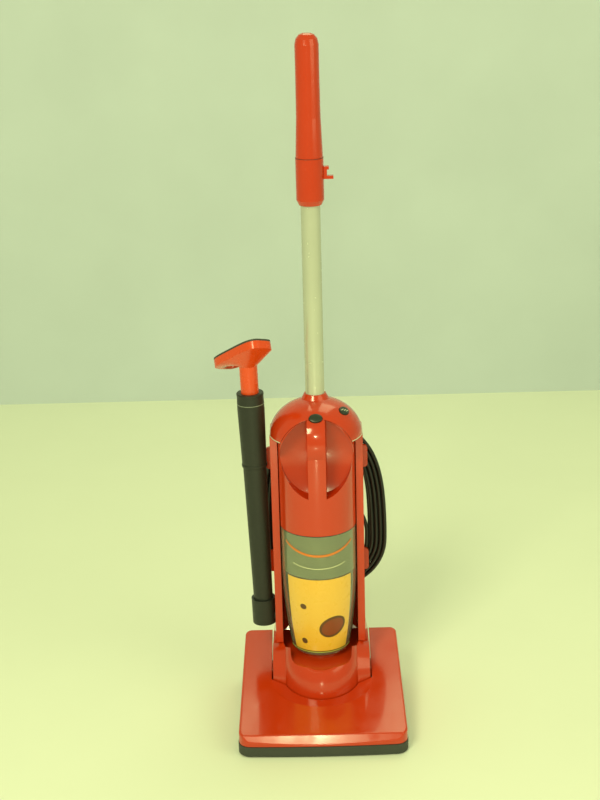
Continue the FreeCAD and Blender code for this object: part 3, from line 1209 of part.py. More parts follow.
def tool_solid(inset, beyond):
    """The tool's neck, its flared head and the skirt at its mouth, drawn in by inset and run past both ends."""
    neck_top = size.upper_top + size.neck_length
    radius = size.neck_radius - inset
    turn = FreeCAD.Rotation(V(0, 0, 1), size.tool_yaw)
    rings = [ring_wire(wand_frame * FreeCAD.Placement(V(0, 0, along), turn), radius, radius)
             for along in (size.upper_top - size.neck_grip - beyond, neck_top)]
    frame = mouth_frame(neck_top + size.tool_rise)
    for height in (-size.tool_skirt, beyond):
        ring_frame = frame * FreeCAD.Placement(V(0, 0, height), FreeCAD.Rotation())
        rings.append(ring_wire(ring_frame, size.tool_half - inset, size.tool_mouth - inset))
    return Part.makeLoft(rings, True, True)


def make_tool():
    return tool_solid(0, 0).cut(tool_solid(size.wand_wall, 2))


def make_lip():
    """The dark strip round the tool's mouth."""
    frame = mouth_frame(size.upper_top + size.neck_length + size.tool_rise)
    away = frame.Rotation.multVec(V(0, 0, size.lip_thickness))
    rims = [Part.Face(ring_wire(frame, size.tool_half - inset, size.tool_mouth - inset)).extrude(away)
            for inset in (0, 2.5)]
    return rims[0].cut(rims[1])


node("upholstery_tool", feature("Tool", make_tool()))
node("tool_lip", feature("ToolLip", make_lip()))

# Every object must be sound before its shape is written.
doc.recompute()
for item in doc.Objects:
    if "Invalid" in item.State or "Error" in item.State:
        raise RuntimeError(f"{item.Label} did not recompute: {item.State}")
for label, item in nodes.items():
    if item.Shape.isNull() or not item.Shape.isValid() or not item.Shape.Solids:
        raise RuntimeError(f"{label} is not a sound shape")
os.makedirs("parts", exist_ok=True)
for label, item in nodes.items():
    item.Shape.exportStep(f"parts/{label}.step")
print(len(nodes), "pieces written")
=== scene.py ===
import math
import random

import bmesh
import bpy
from mathutils import Matrix, Vector


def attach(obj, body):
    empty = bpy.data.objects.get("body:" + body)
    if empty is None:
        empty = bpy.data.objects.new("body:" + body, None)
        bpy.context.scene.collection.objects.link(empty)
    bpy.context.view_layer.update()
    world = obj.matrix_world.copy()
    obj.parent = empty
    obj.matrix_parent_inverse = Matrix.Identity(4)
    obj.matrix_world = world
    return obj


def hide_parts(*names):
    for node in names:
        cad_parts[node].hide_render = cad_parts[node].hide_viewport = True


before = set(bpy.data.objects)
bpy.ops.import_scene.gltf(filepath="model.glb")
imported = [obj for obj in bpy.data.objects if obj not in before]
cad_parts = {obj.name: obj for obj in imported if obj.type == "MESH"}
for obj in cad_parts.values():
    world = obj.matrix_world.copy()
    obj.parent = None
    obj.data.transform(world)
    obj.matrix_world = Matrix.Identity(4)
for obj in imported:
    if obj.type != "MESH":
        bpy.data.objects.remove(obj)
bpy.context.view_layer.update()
scene = bpy.context.scene
scene.view_settings.view_transform = "Standard"

# The camera is held at eye height, 2.4 metres in front of the cleaner, and looks down at it.
# It is turned a little about its own line of sight, as a hand-held camera is.
eye = Vector((0, -2.39, 1.38))
lens_pixels, picture_height, sensor = 1527, 800, 36
down, aside, tilt = math.radians(19), -math.atan(16 / lens_pixels), math.radians(1.59)
ahead = Vector((math.sin(aside) * math.cos(down), math.cos(aside) * math.cos(down), -math.sin(down)))
level = Vector((math.cos(aside), -math.sin(aside), 0))
upward = level.cross(ahead)
right = level * math.cos(tilt) - upward * math.sin(tilt)
top = upward * math.cos(tilt) + level * math.sin(tilt)
camera = bpy.data.objects.new("camera", bpy.data.cameras.new("camera"))
camera.data.sensor_width = sensor
camera.data.lens = lens_pixels / picture_height * sensor
camera.matrix_world = Matrix.Translation(eye) @ Matrix((right, top, -ahead)).transposed().to_4x4()
scene.collection.objects.link(camera)
scene.camera = camera


# The supply cord is a black round lead of 7 mm. It leaves the strain relief on the back of the body, winds
# eight and a half turns round the two hooks in two layers, and ends in its plug inside the winding.
def smooth(low, high, x):
    """Rises from 0 at low to 1 at high, level at both ends."""
    share = min(1, max(0, (x - low) / (high - low)))
    return share * share * (3 - 2 * share)


def winding(turn, grow):
    """The winding's line, clockwise from its right side, moved outwards by grow."""
    middle_across, middle_height, half_width = 0.010, 0.268, 0.0776

    def at(turn):
        angle = 2 * math.pi * turn
        across, along = math.cos(angle), -math.sin(angle)
        if along > 0:
            rise, roundness = 0.1836, 2 / 3.0
        else:
            rise, roundness = 0.0656, 2 / 2.1
        return Vector((middle_across + half_width * math.copysign(abs(across) ** roundness, across), 0,
                       middle_height + rise * math.copysign(abs(along) ** roundness, along)))
    step = at(turn + 0.004) - at(turn - 0.004)
    outward = Vector((-step.z, 0, step.x)).normalized()
    return at(turn) + outward * grow


def round_curve(name, points, thickness):
    """A round cord along one smooth open curve."""
    curve = bpy.data.curves.new(name, "CURVE")
    curve.dimensions = "3D"
    curve.bevel_depth = thickness / 2
    curve.bevel_resolution = 3
    curve.resolution_u = 4
    curve.use_fill_caps = True
    spline = curve.splines.new("NURBS")
    spline.points.add(len(points) - 1)
    for point, place in zip(spline.points, points):
        point.co = (*place, 1)
    spline.order_u = 3
    spline.use_endpoint_u = True
    piece = bpy.data.objects.new(name, curve)
    scene.collection.objects.link(piece)
    return piece


def with_noise(tree, place, scale, detail):
    """A noise texture that is read in the piece's own coordinates."""
    noise = tree.nodes.new("ShaderNodeTexNoise")
    noise.inputs["Scale"].default_value = scale
    noise.inputs["Detail"].default_value = detail
    tree.links.new(place.outputs["Object"], noise.inputs["Vector"])
    return noise


def clouded(tree, place, colour, second, scale, detail):
    """A colour that turns into a second one in soft clouds."""
    clouds = with_noise(tree, place, scale, detail)
    mix = tree.nodes.new("ShaderNodeMix")
    mix.data_type = "RGBA"
    mix.inputs["A"].default_value = (*colour, 1)
    mix.inputs["B"].default_value = (*second, 1)
    tree.links.new(clouds.outputs["Fac"], mix.inputs["Factor"])
    return mix


def surface(name, colour, roughness, second=None, blotch=7, grain=0.05, grain_scale=1400, edge=0.0006, coat=0,
            metallic=0, smudge=0.06, specks=0):
    """A shader with slightly uneven colour and gloss, a fine grain, softened edges and a few dust specks."""
    material = bpy.data.materials.new(name)
    material.use_nodes = True
    tree = material.node_tree
    shader = tree.nodes["Principled BSDF"]
    shader.inputs["Metallic"].default_value = metallic
    shader.inputs["Coat Weight"].default_value = coat
    shader.inputs["Coat Roughness"].default_value = 0.05
    place = tree.nodes.new("ShaderNodeTexCoord")
    body_colour = clouded(tree, place, colour, second or [c * 0.8 for c in colour], blotch, 5).outputs["Result"]
    if specks:
        dust = with_noise(tree, place, 900, 3)
        step = tree.nodes.new("ShaderNodeMapRange")
        step.inputs["From Min"].default_value = 0.66
        step.inputs["From Max"].default_value = 0.74
        step.inputs["To Max"].default_value = specks
        pale_dust = tree.nodes.new("ShaderNodeMix")
        pale_dust.data_type = "RGBA"
        pale_dust.inputs["B"].default_value = (0.5, 0.48, 0.42, 1)
        tree.links.new(dust.outputs["Fac"], step.inputs["Value"])
        tree.links.new(step.outputs["Result"], pale_dust.inputs["Factor"])
        tree.links.new(body_colour, pale_dust.inputs["A"])
        body_colour = pale_dust.outputs["Result"]
    tree.links.new(body_colour, shader.inputs["Base Color"])
    marks = with_noise(tree, place, blotch * 9, 8)
    gloss = tree.nodes.new("ShaderNodeMapRange")
    gloss.inputs["From Min"].default_value = 0.3
    gloss.inputs["From Max"].default_value = 0.7
    gloss.inputs["To Min"].default_value = max(0.02, roughness - smudge)
    gloss.inputs["To Max"].default_value = roughness + smudge
    tree.links.new(marks.outputs["Fac"], gloss.inputs["Value"])
    tree.links.new(gloss.outputs["Result"], shader.inputs["Roughness"])
    fine = with_noise(tree, place, grain_scale, 2)
    bump = tree.nodes.new("ShaderNodeBump")
    bump.inputs["Strength"].default_value = grain
    bump.inputs["Distance"].default_value = 0.0003
    tree.links.new(fine.outputs["Fac"], bump.inputs["Height"])
    if edge:
        round_edge = tree.nodes.new("ShaderNodeBevel")
        round_edge.samples = 4
        round_edge.inputs["Radius"].default_value = edge
        tree.links.new(round_edge.outputs["Normal"], bump.inputs["Normal"])
    tree.links.new(bump.outputs["Normal"], shader.inputs["Normal"])
    return material


cord_thickness, first_layer = 0.007, 0.0842
cord_exit = (0.040, first_layer, 0.400)
turns, points_a_turn, between_turns = 8.5, 24, 0.0076
cord_points = [cord_exit, (0.041, first_layer, 0.373), (0.054, first_layer, 0.345), (0.074, first_layer, 0.321),
               (0.0853, first_layer, 0.294)]
for i in range(int(turns * points_a_turn) + 1):
    turn = i / points_a_turn
    grow = min(turn, turns - turn)
    if grow < 0.1:
        grow -= 0.3 * (1 - grow / 0.1)
    spot = winding(turn, grow * between_turns)
    layer = first_layer + between_turns * smooth(4.0, 4.5, turn)
    cord_points.append((spot.x, layer, spot.z))
cord_points += [(-0.0653, 0.0918, 0.286), (-0.057, 0.0905, 0.305), (-0.043, 0.088, 0.319),
                (-0.034, 0.0868, 0.330), (-0.034, 0.0868, 0.345)]
jacket = surface("cord_jacket", (0.012, 0.013, 0.012), 0.4, blotch=30, grain=0.12, edge=0)
cord = round_curve("supply_cord", cord_points, cord_thickness)
cord.data.materials.append(jacket)
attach(cord, "upright")
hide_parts("cord_lead", "cord_hank", "cord_tail")


# The plug is moulded on the cord's end in the same black rubber, with finger ridges and two bright folded
# brass blades.
def shaped(name, bm, material, sharp=35):
    """The bmesh as an object in place, smooth but for its sharp edges."""
    bmesh.ops.remove_doubles(bm, verts=bm.verts, dist=0.000005)
    bmesh.ops.recalc_face_normals(bm, faces=bm.faces)
    mesh = bpy.data.meshes.new(name)
    bm.to_mesh(mesh)
    bm.free()
    mesh.shade_smooth()
    mesh.set_sharp_from_angle(angle=math.radians(sharp))
    mesh.materials.append(material)
    piece = bpy.data.objects.new(name, mesh)
    scene.collection.objects.link(piece)
    return piece


def finished(name, bm, body, slot, material, *stands_for):
    """The bmesh as a piece: it rides on its body and takes the given material; slot is not used."""
    piece = shaped(name, bm, material)
    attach(piece, body)
    if stands_for:
        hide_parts(*stands_for)
    return piece


def brick(bm, low, high, rounded=0, segments=3):
    """A block between two corners, with its edges rounded."""
    middle = (Vector(low) + Vector(high)) / 2
    made = bmesh.ops.create_cube(bm, size=1)["verts"]
    bmesh.ops.scale(bm, vec=Vector(high) - Vector(low), verts=made)
    bmesh.ops.translate(bm, vec=middle, verts=made)
    if rounded:
        edges = list({e for v in made for e in v.link_edges})
        bmesh.ops.bevel(bm, geom=edges, offset=rounded, segments=segments, profile=0.5, affect="EDGES",
                        material=-1)


plug = bmesh.new()
brick(plug, (-0.044, 0.0808, 0.347), (-0.024, 0.0928, 0.383), 0.0035, 4)
brick(plug, (-0.0385, 0.0815, 0.3455), (-0.0295, 0.0921, 0.350), 0.002)
for ridge in range(4):
    height = 0.354 + 0.0045 * ridge
    brick(plug, (-0.0439, 0.0835, height), (-0.0241, 0.0901, height + 0.0022), 0.0006, 2)
plug = finished("plug_body", plug, "upright", "plug_rubber", jacket, "plug")
brass = surface("blade_brass", (0.72, 0.56, 0.24), 0.22, metallic=1, grain=0.02, edge=0)
plug_middle, blade_half = -0.034, 0.00075
blades = bmesh.new()
for side in (-0.00635, 0.00635):
    brick(blades, (plug_middle + side - blade_half, 0.0836, 0.382),
          (plug_middle + side + blade_half, 0.0900, 0.400), 0.0004, 2)
blades = finished("plug_blades", blades, "upright", "plug_rubber", brass)

# The strain relief is a ribbed black boot that is moulded on the lead where it leaves the body, and tapers
# towards the cord.
boot = bmesh.new()
brick(boot, (0.032, 0.0801, 0.418), (0.048, 0.0892, 0.424), 0.0015, 2)
for rib in range(5):
    share = rib / 4
    half = 0.0072 - 0.0022 * share
    height = 0.4155 - 0.0037 * rib
    brick(boot, (0.040 - half, 0.0803, height - 0.0012),
          (0.040 + half, 0.0888 - 0.0004 * share, height + 0.0012), 0.0008, 2)
brick(boot, (0.0352, 0.0804, 0.4000), (0.0448, 0.0884, 0.419), 0.002, 3)
finished("strain_relief_boot", boot, "upright", "black_plastic", jacket, "strain_relief")


# The hood of the floor head is one glossy red plastic moulding, made in a polished mould. It covers the brush
# and sits on the tray.
def finish(material, *names):
    """Gives CAD nodes that stay in view their material."""
    for name in names:
        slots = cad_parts[name].data.materials
        slots.clear()
        slots.append(material)


red = surface("red_gloss", (0.60, 0.040, 0.003), 0.17, second=(0.52, 0.030, 0.003), blotch=5, grain=0.03,
              grain_scale=500, edge=0.0012, coat=0.35, specks=0.12)
finish(red, "nozzle_hood")

# The floor head's tray, with the saddles that the body turns in and their caps, is black plastic. It has a
# fine spark-eroded grain and hardly shines.
black = surface("black_plastic", (0.017, 0.02, 0.016), 0.46, blotch=12, grain=0.14, grain_scale=2600,
                edge=0.0007, specks=0.1)
finish(black, "sole_tray", "pivot_saddles", "pivot_caps")

# The bumper is a soft dark strip, moulded in rubber and pushed on round the tray's front, where it meets
# the furniture.
soft = surface("bumper_rubber", (0.035, 0.04, 0.034), 0.6, second=(0.05, 0.056, 0.048), blotch=18, grain=0.2,
               grain_scale=1800, edge=0.0012)
finish(soft, "front_bumper")


# The wheels are hard dark grey plastic and spin on bright steel axles in the tray's ears. The two behind are
# big, with four raised rings as their tread, and the two under the front are small rollers.
def turned(bm, outline, steps, place):
    """Turns a closed outline, given as (radius, along), about the Z axis, and puts it in its place."""
    before = set(bm.verts)
    points = [bm.verts.new((radius, 0, along)) for radius, along in outline]
    edges = [bm.edges.new(pair) for pair in zip(points, points[1:] + points[:1])]
    bmesh.ops.spin(bm, geom=points + edges, cent=(0, 0, 0), axis=(0, 0, 1), angle=2 * math.pi, steps=steps,
                   use_merge=True)
    bmesh.ops.transform(bm, matrix=place, verts=[v for v in bm.verts if v not in before])


steel = surface("bright_steel", (0.62, 0.62, 0.60), 0.3, metallic=1, blotch=30, grain=0.06, edge=0)
finish(steel, "wheel_axles")
wheel_grey = surface("wheel_grey", (0.045, 0.045, 0.042), 0.5, blotch=25, grain=0.15, edge=0.0005, specks=0.2)
sideways = Matrix.Rotation(math.pi / 2, 4, "Y")
wheel_outline = [(0.00405, 0), (0.012, 0), (0.013, 0.001), (0.0135, 0.003), (0.0205, 0.003), (0.0208, 0.0005),
                 (0.0245, 0)]
for ring in range(4):
    low = 0.0006 + 0.0029 * ring
    wheel_outline += [(0.0252, low), (0.026, low + 0.0005), (0.026, low + 0.0017), (0.0252, low + 0.0022)]
wheel_outline += [(0.0245, 0.012), (0.0208, 0.0115), (0.0205, 0.009), (0.0135, 0.009), (0.013, 0.011),
                  (0.012, 0.012), (0.00405, 0.012)]
roller_outline = [(0.00205, 0), (0.0068, 0), (0.008, 0.0009), (0.008, 0.0034), (0.0074, 0.004), (0.008, 0.0046),
                  (0.008, 0.0071), (0.0068, 0.008), (0.00205, 0.008)]
for side, wheel_start, roller_start in (("left", -0.124, -0.074), ("right", 0.112, 0.066)):
    wheel = bmesh.new()
    turned(wheel, wheel_outline, 64, Matrix.Translation((wheel_start, 0.046, 0.026)) @ sideways)
    finished(f"big_wheel_{side}", wheel, f"rear_{side}", "wheel_plastic", wheel_grey, f"rear_wheel_{side}")
    roller = bmesh.new()
    turned(roller, roller_outline, 40, Matrix.Translation((roller_start, -0.118, 0.008)) @ sideways)
    finished(f"roller_{side}", roller, f"front_{side}", "wheel_plastic", wheel_grey, f"front_wheel_{side}")

# The release pedal is a dark lever with three raised ribs under the toe, on a steel pin and spring at the
# left rear of the floor head.
finish(wheel_grey, "release_pedal")
finish(steel, "pedal_pin", "pedal_spring")
ribs = bmesh.new()
for rib in range(3):
    back = 0.0835 + 0.0042 * rib
    brick(ribs, (-0.1225, back, 0.0745), (-0.1075, back + 0.0018, 0.0757), 0.0004, 2)
finished("pedal_ribs", ribs, "pedal", "wheel_plastic", wheel_grey)

# The brushroll is a black core on a steel axle between two soft end caps. It carries two spiral rows of stiff
# dark nylon bristles, each tuft a bunch of fine tapered hairs pressed into a hole in the roll.
finish(black, "brush_core")
finish(steel, "brush_axle")
rubber = surface("soft_rubber", (0.03, 0.03, 0.032), 0.6, blotch=20, grain=0.2, grain_scale=1800, edge=0)
finish(rubber, "brush_end_caps")
dice = random.Random(4)
tufts, tuft_step, hairs, hair_length = 15, 0.014, 9, 0.0062
bristles = bmesh.new()
for row in (0, math.pi):
    for i in range(tufts):
        across = -0.120 + tuft_step * (i + 0.7)
        turn = row + math.pi * i / tufts
        for hair in range(hairs):
            lean = Vector((dice.uniform(-0.0016, 0.0016), 0, 0))
            spread = turn + dice.uniform(-0.14, 0.14)
            out = Vector((0, math.cos(spread), math.sin(spread)))
            root = Vector((across, -0.155, 0.021)) + out * 0.0118 + lean * 0.5
            turned_out = out.to_track_quat("Z", "Y").to_matrix().to_4x4()
            place = Matrix.Translation(root + out * hair_length / 2 + lean) @ turned_out
            bmesh.ops.create_cone(bristles, cap_ends=True, segments=6, radius1=0.00045, radius2=0.00022,
                                  depth=hair_length, matrix=place)
nylon = surface("bristle_nylon", (0.03, 0.028, 0.026), 0.4, blotch=60, grain=0.1, edge=0)
finished("bristle_rows", bristles, "brushroll", "bristle", nylon, "brush_bristles")

# The motor lies in the bowl in two rubber rings, with a pale moulded fan at one end. Its can, armature and
# shaft are bright steel, and a rubber belt runs from the shaft to the brushroll.
finish(steel, "motor_can", "motor_armature", "motor_shaft")
finish(rubber, "motor_mounts", "drive_belt")
pale = surface("pale_plastic", (0.6, 0.6, 0.55), 0.4, edge=0.0006)
finish(pale, "motor_fan")

# The body is moulded in the hood's red plastic: the bowl and its back round the motor, the deck under the
# cup, and the spine behind it, with a slotted cover over the exhaust's dark foam. The cord's hooks are black.
finish(red, "motor_bowl", "motor_back", "motor_deck", "rear_housing", "exhaust_cover")
foam = surface("filter_foam", (0.03, 0.03, 0.03), 0.95, blotch=60, grain=0.8, grain_scale=700, edge=0)
finish(foam, "exhaust_filter")
finish(black, "cord_hook_upper", "cord_hook_lower")
finish(steel, "body_screws")


# The dust cup is clear plastic with a faint green tint, moulded in one piece with a rounded foot. Use has left
# fine scratches on it.
def clear(name, colour, roughness, weight):
    """A see-through plastic with faint scratches."""
    material = bpy.data.materials.new(name)
    material.use_nodes = True
    tree = material.node_tree
    shader = tree.nodes["Principled BSDF"]
    shader.inputs["Base Color"].default_value = (*colour, 1)
    shader.inputs["Transmission Weight"].default_value = weight
    shader.inputs["IOR"].default_value = 1.46
    marks = with_noise(tree, tree.nodes.new("ShaderNodeTexCoord"), 60, 8)
    gloss = tree.nodes.new("ShaderNodeMapRange")
    gloss.inputs["To Min"].default_value = roughness
    gloss.inputs["To Max"].default_value = roughness + 0.12
    tree.links.new(marks.outputs["Fac"], gloss.inputs["Value"])
    tree.links.new(gloss.outputs["Result"], shader.inputs["Roughness"])
    return material


finish(clear("clear_plastic", (0.80, 0.86, 0.72), 0.03, 0.9), "dust_cup")


# The label is a thin amber film round the front of the cup. It bears only plain shapes: a dark tilted oval
# with a brick-red middle, two small dark spots, and a dark line above a yellow-green one at its foot.
def cup_radius(height):
    """The cup's outer radius at a height: its side is a long arc below the shoulder."""
    shoulder, shoulder_radius, arc, arc_height = 0.266, 0.0645, 0.837393, 0.26648
    if height > shoulder:
        return shoulder_radius
    return -0.77289 + math.sqrt(arc ** 2 - (height - arc_height) ** 2)


def on_cup(bm, angle, height, out):
    """A point at an angle from the front and a height, out from the cup's side."""
    reach = cup_radius(height) + out
    return bm.verts.new((reach * math.sin(angle), -reach * math.cos(angle), height))


def wrapped(bm, outline, proud, thick=0.0002):
    """A thin patch bent round the cup: outline is a closed ring of (angle, height), filled from its middle."""
    middle = (sum(a for a, z in outline) / len(outline), sum(z for a, z in outline) / len(outline))
    rings = [[(middle[0] + (a - middle[0]) * share, middle[1] + (z - middle[1]) * share) for a, z in outline]
             for share in (1, 0.75, 0.5, 0.25)]
    front = [[on_cup(bm, a, z, proud + thick) for a, z in ring] for ring in rings]
    back = [on_cup(bm, a, z, proud) for a, z in rings[0]]
    centre = on_cup(bm, *middle, proud + thick)
    count = len(outline)
    for i in range(count):
        j = (i + 1) % count
        bm.faces.new((back[i], back[j], front[0][j], front[0][i]))
        for outer, inner in zip(front, front[1:]):
            bm.faces.new((outer[i], outer[j], inner[j], inner[i]))
        bm.faces.new((front[-1][i], front[-1][j], centre))


def oval(angle, height, half, rise, lean=0, points=40):
    """A tilted oval on the cup, as (angle, height) points; half and rise are lengths."""
    reach = cup_radius(height)
    ring = []
    for i in range(points):
        turn = 2 * math.pi * i / points
        x, z = half * math.cos(turn), rise * math.sin(turn)
        ring.append((angle + (x * math.cos(lean) - z * math.sin(lean)) / reach,
                     height + x * math.sin(lean) + z * math.cos(lean)))
    return ring


def wrapped_band(bm, low_middle, sag, half_angle, width, proud, thick=0.0002, steps=48):
    """A thin band across the cup's front whose ends are higher than its middle by sag."""
    columns = []
    for i in range(steps + 1):
        share = 2 * i / steps - 1
        angle, low = half_angle * share, low_middle + sag * share * share
        columns.append((on_cup(bm, angle, low, proud), on_cup(bm, angle, low, proud + thick),
                        on_cup(bm, angle, low + width, proud + thick), on_cup(bm, angle, low + width, proud)))
    for one, two in zip(columns, columns[1:]):
        for i in range(4):
            j = (i + 1) % 4
            bm.faces.new((one[i], one[j], two[j], two[i]))
    bm.faces.new(columns[0])
    bm.faces.new(columns[-1][::-1])


amber = surface("amber_film", (0.90, 0.46, 0.03), 0.3, second=(0.86, 0.56, 0.10), blotch=10, grain=0.02, edge=0,
                coat=0.4)
finish(amber, "cup_label")
ink = surface("label_ink", (0.09, 0.045, 0.015), 0.4, second=(0.16, 0.07, 0.02), blotch=90, grain=0.03, edge=0)
brick_red = surface("label_red", (0.30, 0.05, 0.012), 0.35, second=(0.22, 0.07, 0.02), blotch=80, grain=0.02,
                    edge=0)
trim_colour = surface("label_trim", (0.42, 0.55, 0.06), 0.35, second=(0.5, 0.6, 0.15), blotch=30, grain=0.02,
                      edge=0)
on_film, on_ink, on_side = 0.0005, 0.00075, 0.0002
oval_angle, oval_height, oval_lean = math.radians(21), 0.166, math.radians(24)
marks = bmesh.new()
wrapped(marks, oval(oval_angle, oval_height, 0.0245, 0.0195, oval_lean), on_film)
wrapped(marks, oval(math.radians(-27), 0.206, 0.0058, 0.0050, math.radians(-20), 20), on_film)
wrapped(marks, oval(math.radians(-30), 0.137, 0.0052, 0.0056, math.radians(15), 20), on_film)
wrapped_band(marks, 0.1165, 0, math.radians(55), 0.0016, on_film)
finished("label_marks", marks, "cup", "cup_print", ink)
filling = bmesh.new()
wrapped(filling, oval(oval_angle, oval_height, 0.0205, 0.0150, oval_lean), on_ink)
finished("label_filling", filling, "cup", "cup_print", brick_red)
trim = bmesh.new()
wrapped_band(trim, 0.1145, 0, math.radians(75), 0.0016, on_side)
finished("foot_trim", trim, "cup", "cup_print", trim_colour)

# Above the label the cup is milky: fine dust clings to its inner side. A plain orange line sags across it,
# with a thin pale line below.
milky = bmesh.new()
wrapped_band(milky, 0.2595, 0, math.radians(100), 0.0760, -0.0029)
dusty = clear("dusty_film", (0.66, 0.66, 0.42), 0.45, 0.55)
finished("dust_film", milky, "cup", "clear_plastic", dusty)
line_orange = surface("line_orange", (0.80, 0.22, 0.02), 0.3, blotch=30, grain=0.02, edge=0, coat=0.3)
line = bmesh.new()
wrapped_band(line, 0.300, 0.018, math.radians(58), 0.0042, on_side)
finished("sagging_line", line, "cup", "cup_print", line_orange)
line_pale = surface("line_pale", (0.75, 0.76, 0.50), 0.3, blotch=30, grain=0.02, edge=0, coat=0.3)
line = bmesh.new()
wrapped_band(line, 0.278, 0.006, math.radians(42), 0.0013, on_side)
finished("thin_line", line, "cup", "cup_print", line_pale)

# The filter hangs in the cup from a black plate: folded off-white paper between two rings. The red lid closes
# the cup over a soft seal.
pleats = surface("filter_paper", (0.78, 0.77, 0.62), 0.9, blotch=40, grain=0.3, edge=0)
finish(pleats, "pleated_filter")
finish(black, "filter_plate")
finish(rubber, "cup_seal")
finish(red, "cup_lid")


# The latch and the power switch are satin black domed ovals in the red canopy. The latch is pressed to free
# the cup, and the switch rocks on its short way. The switch bears three plain pale bars, the latch none.
dome_half_width, dome_half_depth, dome_rise, dome_middle, dome_foot = 0.0775, 0.075, 0.062, 0.005, 0.497


def dome_place(x, y):
    """The frame of a button on the dome over (x, y): its Z axis faces away from the dome."""
    level_y = y - dome_middle
    rise = dome_rise * math.sqrt(1 - (x / dome_half_width) ** 2 - (level_y / dome_half_depth) ** 2)
    away = Vector((x / dome_half_width ** 2, level_y / dome_half_depth ** 2, rise / dome_rise ** 2)).normalized()
    across = Vector((0, 0, 1)).cross(away).normalized()
    turned_out = Matrix((across, away.cross(across), away)).transposed().to_4x4()
    return Matrix.Translation((x, y, dome_foot + rise)) @ turned_out


def oval_button(bm, half, rise, low, high, crown, place, count=48):
    """An oval plug with a rounded rim and a gently domed face."""
    steps = [(1.0, low), (1.0, high - 0.0009), (0.985, high - 0.0003), (0.93, high + crown * 0.1),
             (0.75, high + crown * 0.45), (0.5, high + crown * 0.75), (0.25, high + crown * 0.94)]
    rings = []
    for share, height in steps:
        rings.append([bm.verts.new(place @ Vector((half * share * math.cos(2 * math.pi * i / count),
                                                   rise * share * math.sin(2 * math.pi * i / count), height)))
                      for i in range(count)])
    tip = bm.verts.new(place @ Vector((0, 0, high + crown)))
    for i in range(count):
        j = (i + 1) % count
        for one, two in zip(rings, rings[1:]):
            bm.faces.new((one[i], one[j], two[j], two[i]))
        bm.faces.new((rings[-1][i], rings[-1][j], tip))
    bm.faces.new(rings[0][::-1])


finish(red, "canopy")
satin = surface("satin_black", (0.020, 0.032, 0.022), 0.34, blotch=20, grain=0.06, edge=0)
# The cream is the switch's print, and also the painted highlight beads at the canopy's front corners.
cream = surface("cream_print_and_highlight", (0.78, 0.80, 0.62), 0.4, blotch=60, grain=0.02, edge=0)
button_half, button_rise, button_depth = 0.011, 0.008, -0.004
button = bmesh.new()
oval_button(button, button_half, button_rise, button_depth, 0.0020, 0.0010, dome_place(0, -0.048))
finished("latch_cap", button, "latch", "black_plastic", satin, "latch_button")
switch_place = dome_place(0.047, -0.018)
button = bmesh.new()
oval_button(button, button_half, button_rise, button_depth, 0.0016, 0.0008, switch_place)
finished("switch_cap", button, "switch", "black_plastic", satin, "power_switch")
bars = bmesh.new()
for x, y, half in ((-0.0035, 0.0028, 0.0030), (0.0005, -0.0004, 0.0034), (0.0035, -0.0034, 0.0030)):
    before = set(bars.verts)
    brick(bars, (x - half, y - 0.0006, 0.0018), (x + half, y + 0.0006, 0.0026), 0.0002, 2)
    bmesh.ops.transform(bars, matrix=switch_place, verts=[v for v in bars.verts if v not in before])
finished("switch_bars", bars, "switch", "black_plastic", cream)


# A thin cream bead of painted highlight shows at each front corner, on the ledge where the canopy sits on the
# spine.
def painted_edge_highlight(bm, from_angle, to_angle, height, thickness, points=24, sides=8):
    """A thin round bead of painted highlight along the canopy's lower edge between two angles."""
    rings = []
    for i in range(points + 1):
        angle = from_angle + (to_angle - from_angle) * i / points
        out = Vector((math.cos(angle), math.sin(angle), 0))
        spot = Vector((dome_half_width * out.x, dome_middle + dome_half_depth * out.y, height))
        ring = []
        for k in range(sides):
            turn = 2 * math.pi * k / sides
            ring.append(bm.verts.new(spot + out * thickness * math.cos(turn)
                                     + Vector((0, 0, thickness * math.sin(turn)))))
        rings.append(ring)
    for one, two in zip(rings, rings[1:]):
        for k in range(sides):
            j = (k + 1) % sides
            bm.faces.new((one[k], one[j], two[j], two[k]))
    bm.faces.new(rings[0])
    bm.faces.new(rings[-1][::-1])


bead_height, bead_thickness = 0.4982, 0.0007
# Two cream beads painted in as the highlight at the canopy's front corners.
beads = bmesh.new()
painted_edge_highlight(beads, math.radians(-12), math.radians(-40), bead_height, bead_thickness)
painted_edge_highlight(beads, math.radians(192), math.radians(220), bead_height, bead_thickness)
finished("canopy_painted_highlights", beads, "upright", "red_gloss", cream)

# The handle tube is thin steel with a pale grey baked coat, pushed into the canopy's socket. A red collar with
# the cord's clip is screwed on it, and a fine dark line shows where the collar meets the red grip.
tube = surface("handle_tube", (0.62, 0.64, 0.56), 0.26, metallic=0.3, blotch=9, grain=0.01, grain_scale=600,
               edge=0, coat=0.25, smudge=0.015)
finish(tube, "handle_tube")
finish(red, "handle_collar", "handle_grip", "cord_clip")
finish(steel, "collar_screw")
shadow_line = surface("shadow_line", (0.10, 0.012, 0.006), 0.5, blotch=40, grain=0.02, edge=0)
seam = bmesh.new()
turned(seam, [(0.0216, 0.9566), (0.0226, 0.9566), (0.0226, 0.9574), (0.0216, 0.9574)], 64,
       Matrix.Translation((0, 0.012, 0)))
finished("grip_seam", seam, "upright", "red_gloss", shadow_line)


# The wand leans at the left side in its black holder. Its two black tubes push together, with a raised ring at
# the joint and a rolled rim at the top, where a thin bright line catches the light.
def ring_outline(radius, height, proud, tall):
    """The section of a rounded ring on a tube."""
    return [(radius - 0.0006, height - tall / 2), (radius + proud * 0.7, height - tall / 2),
            (radius + proud, height - tall * 0.3), (radius + proud, height + tall * 0.3),
            (radius + proud * 0.7, height + tall / 2), (radius - 0.0006, height + tall / 2)]


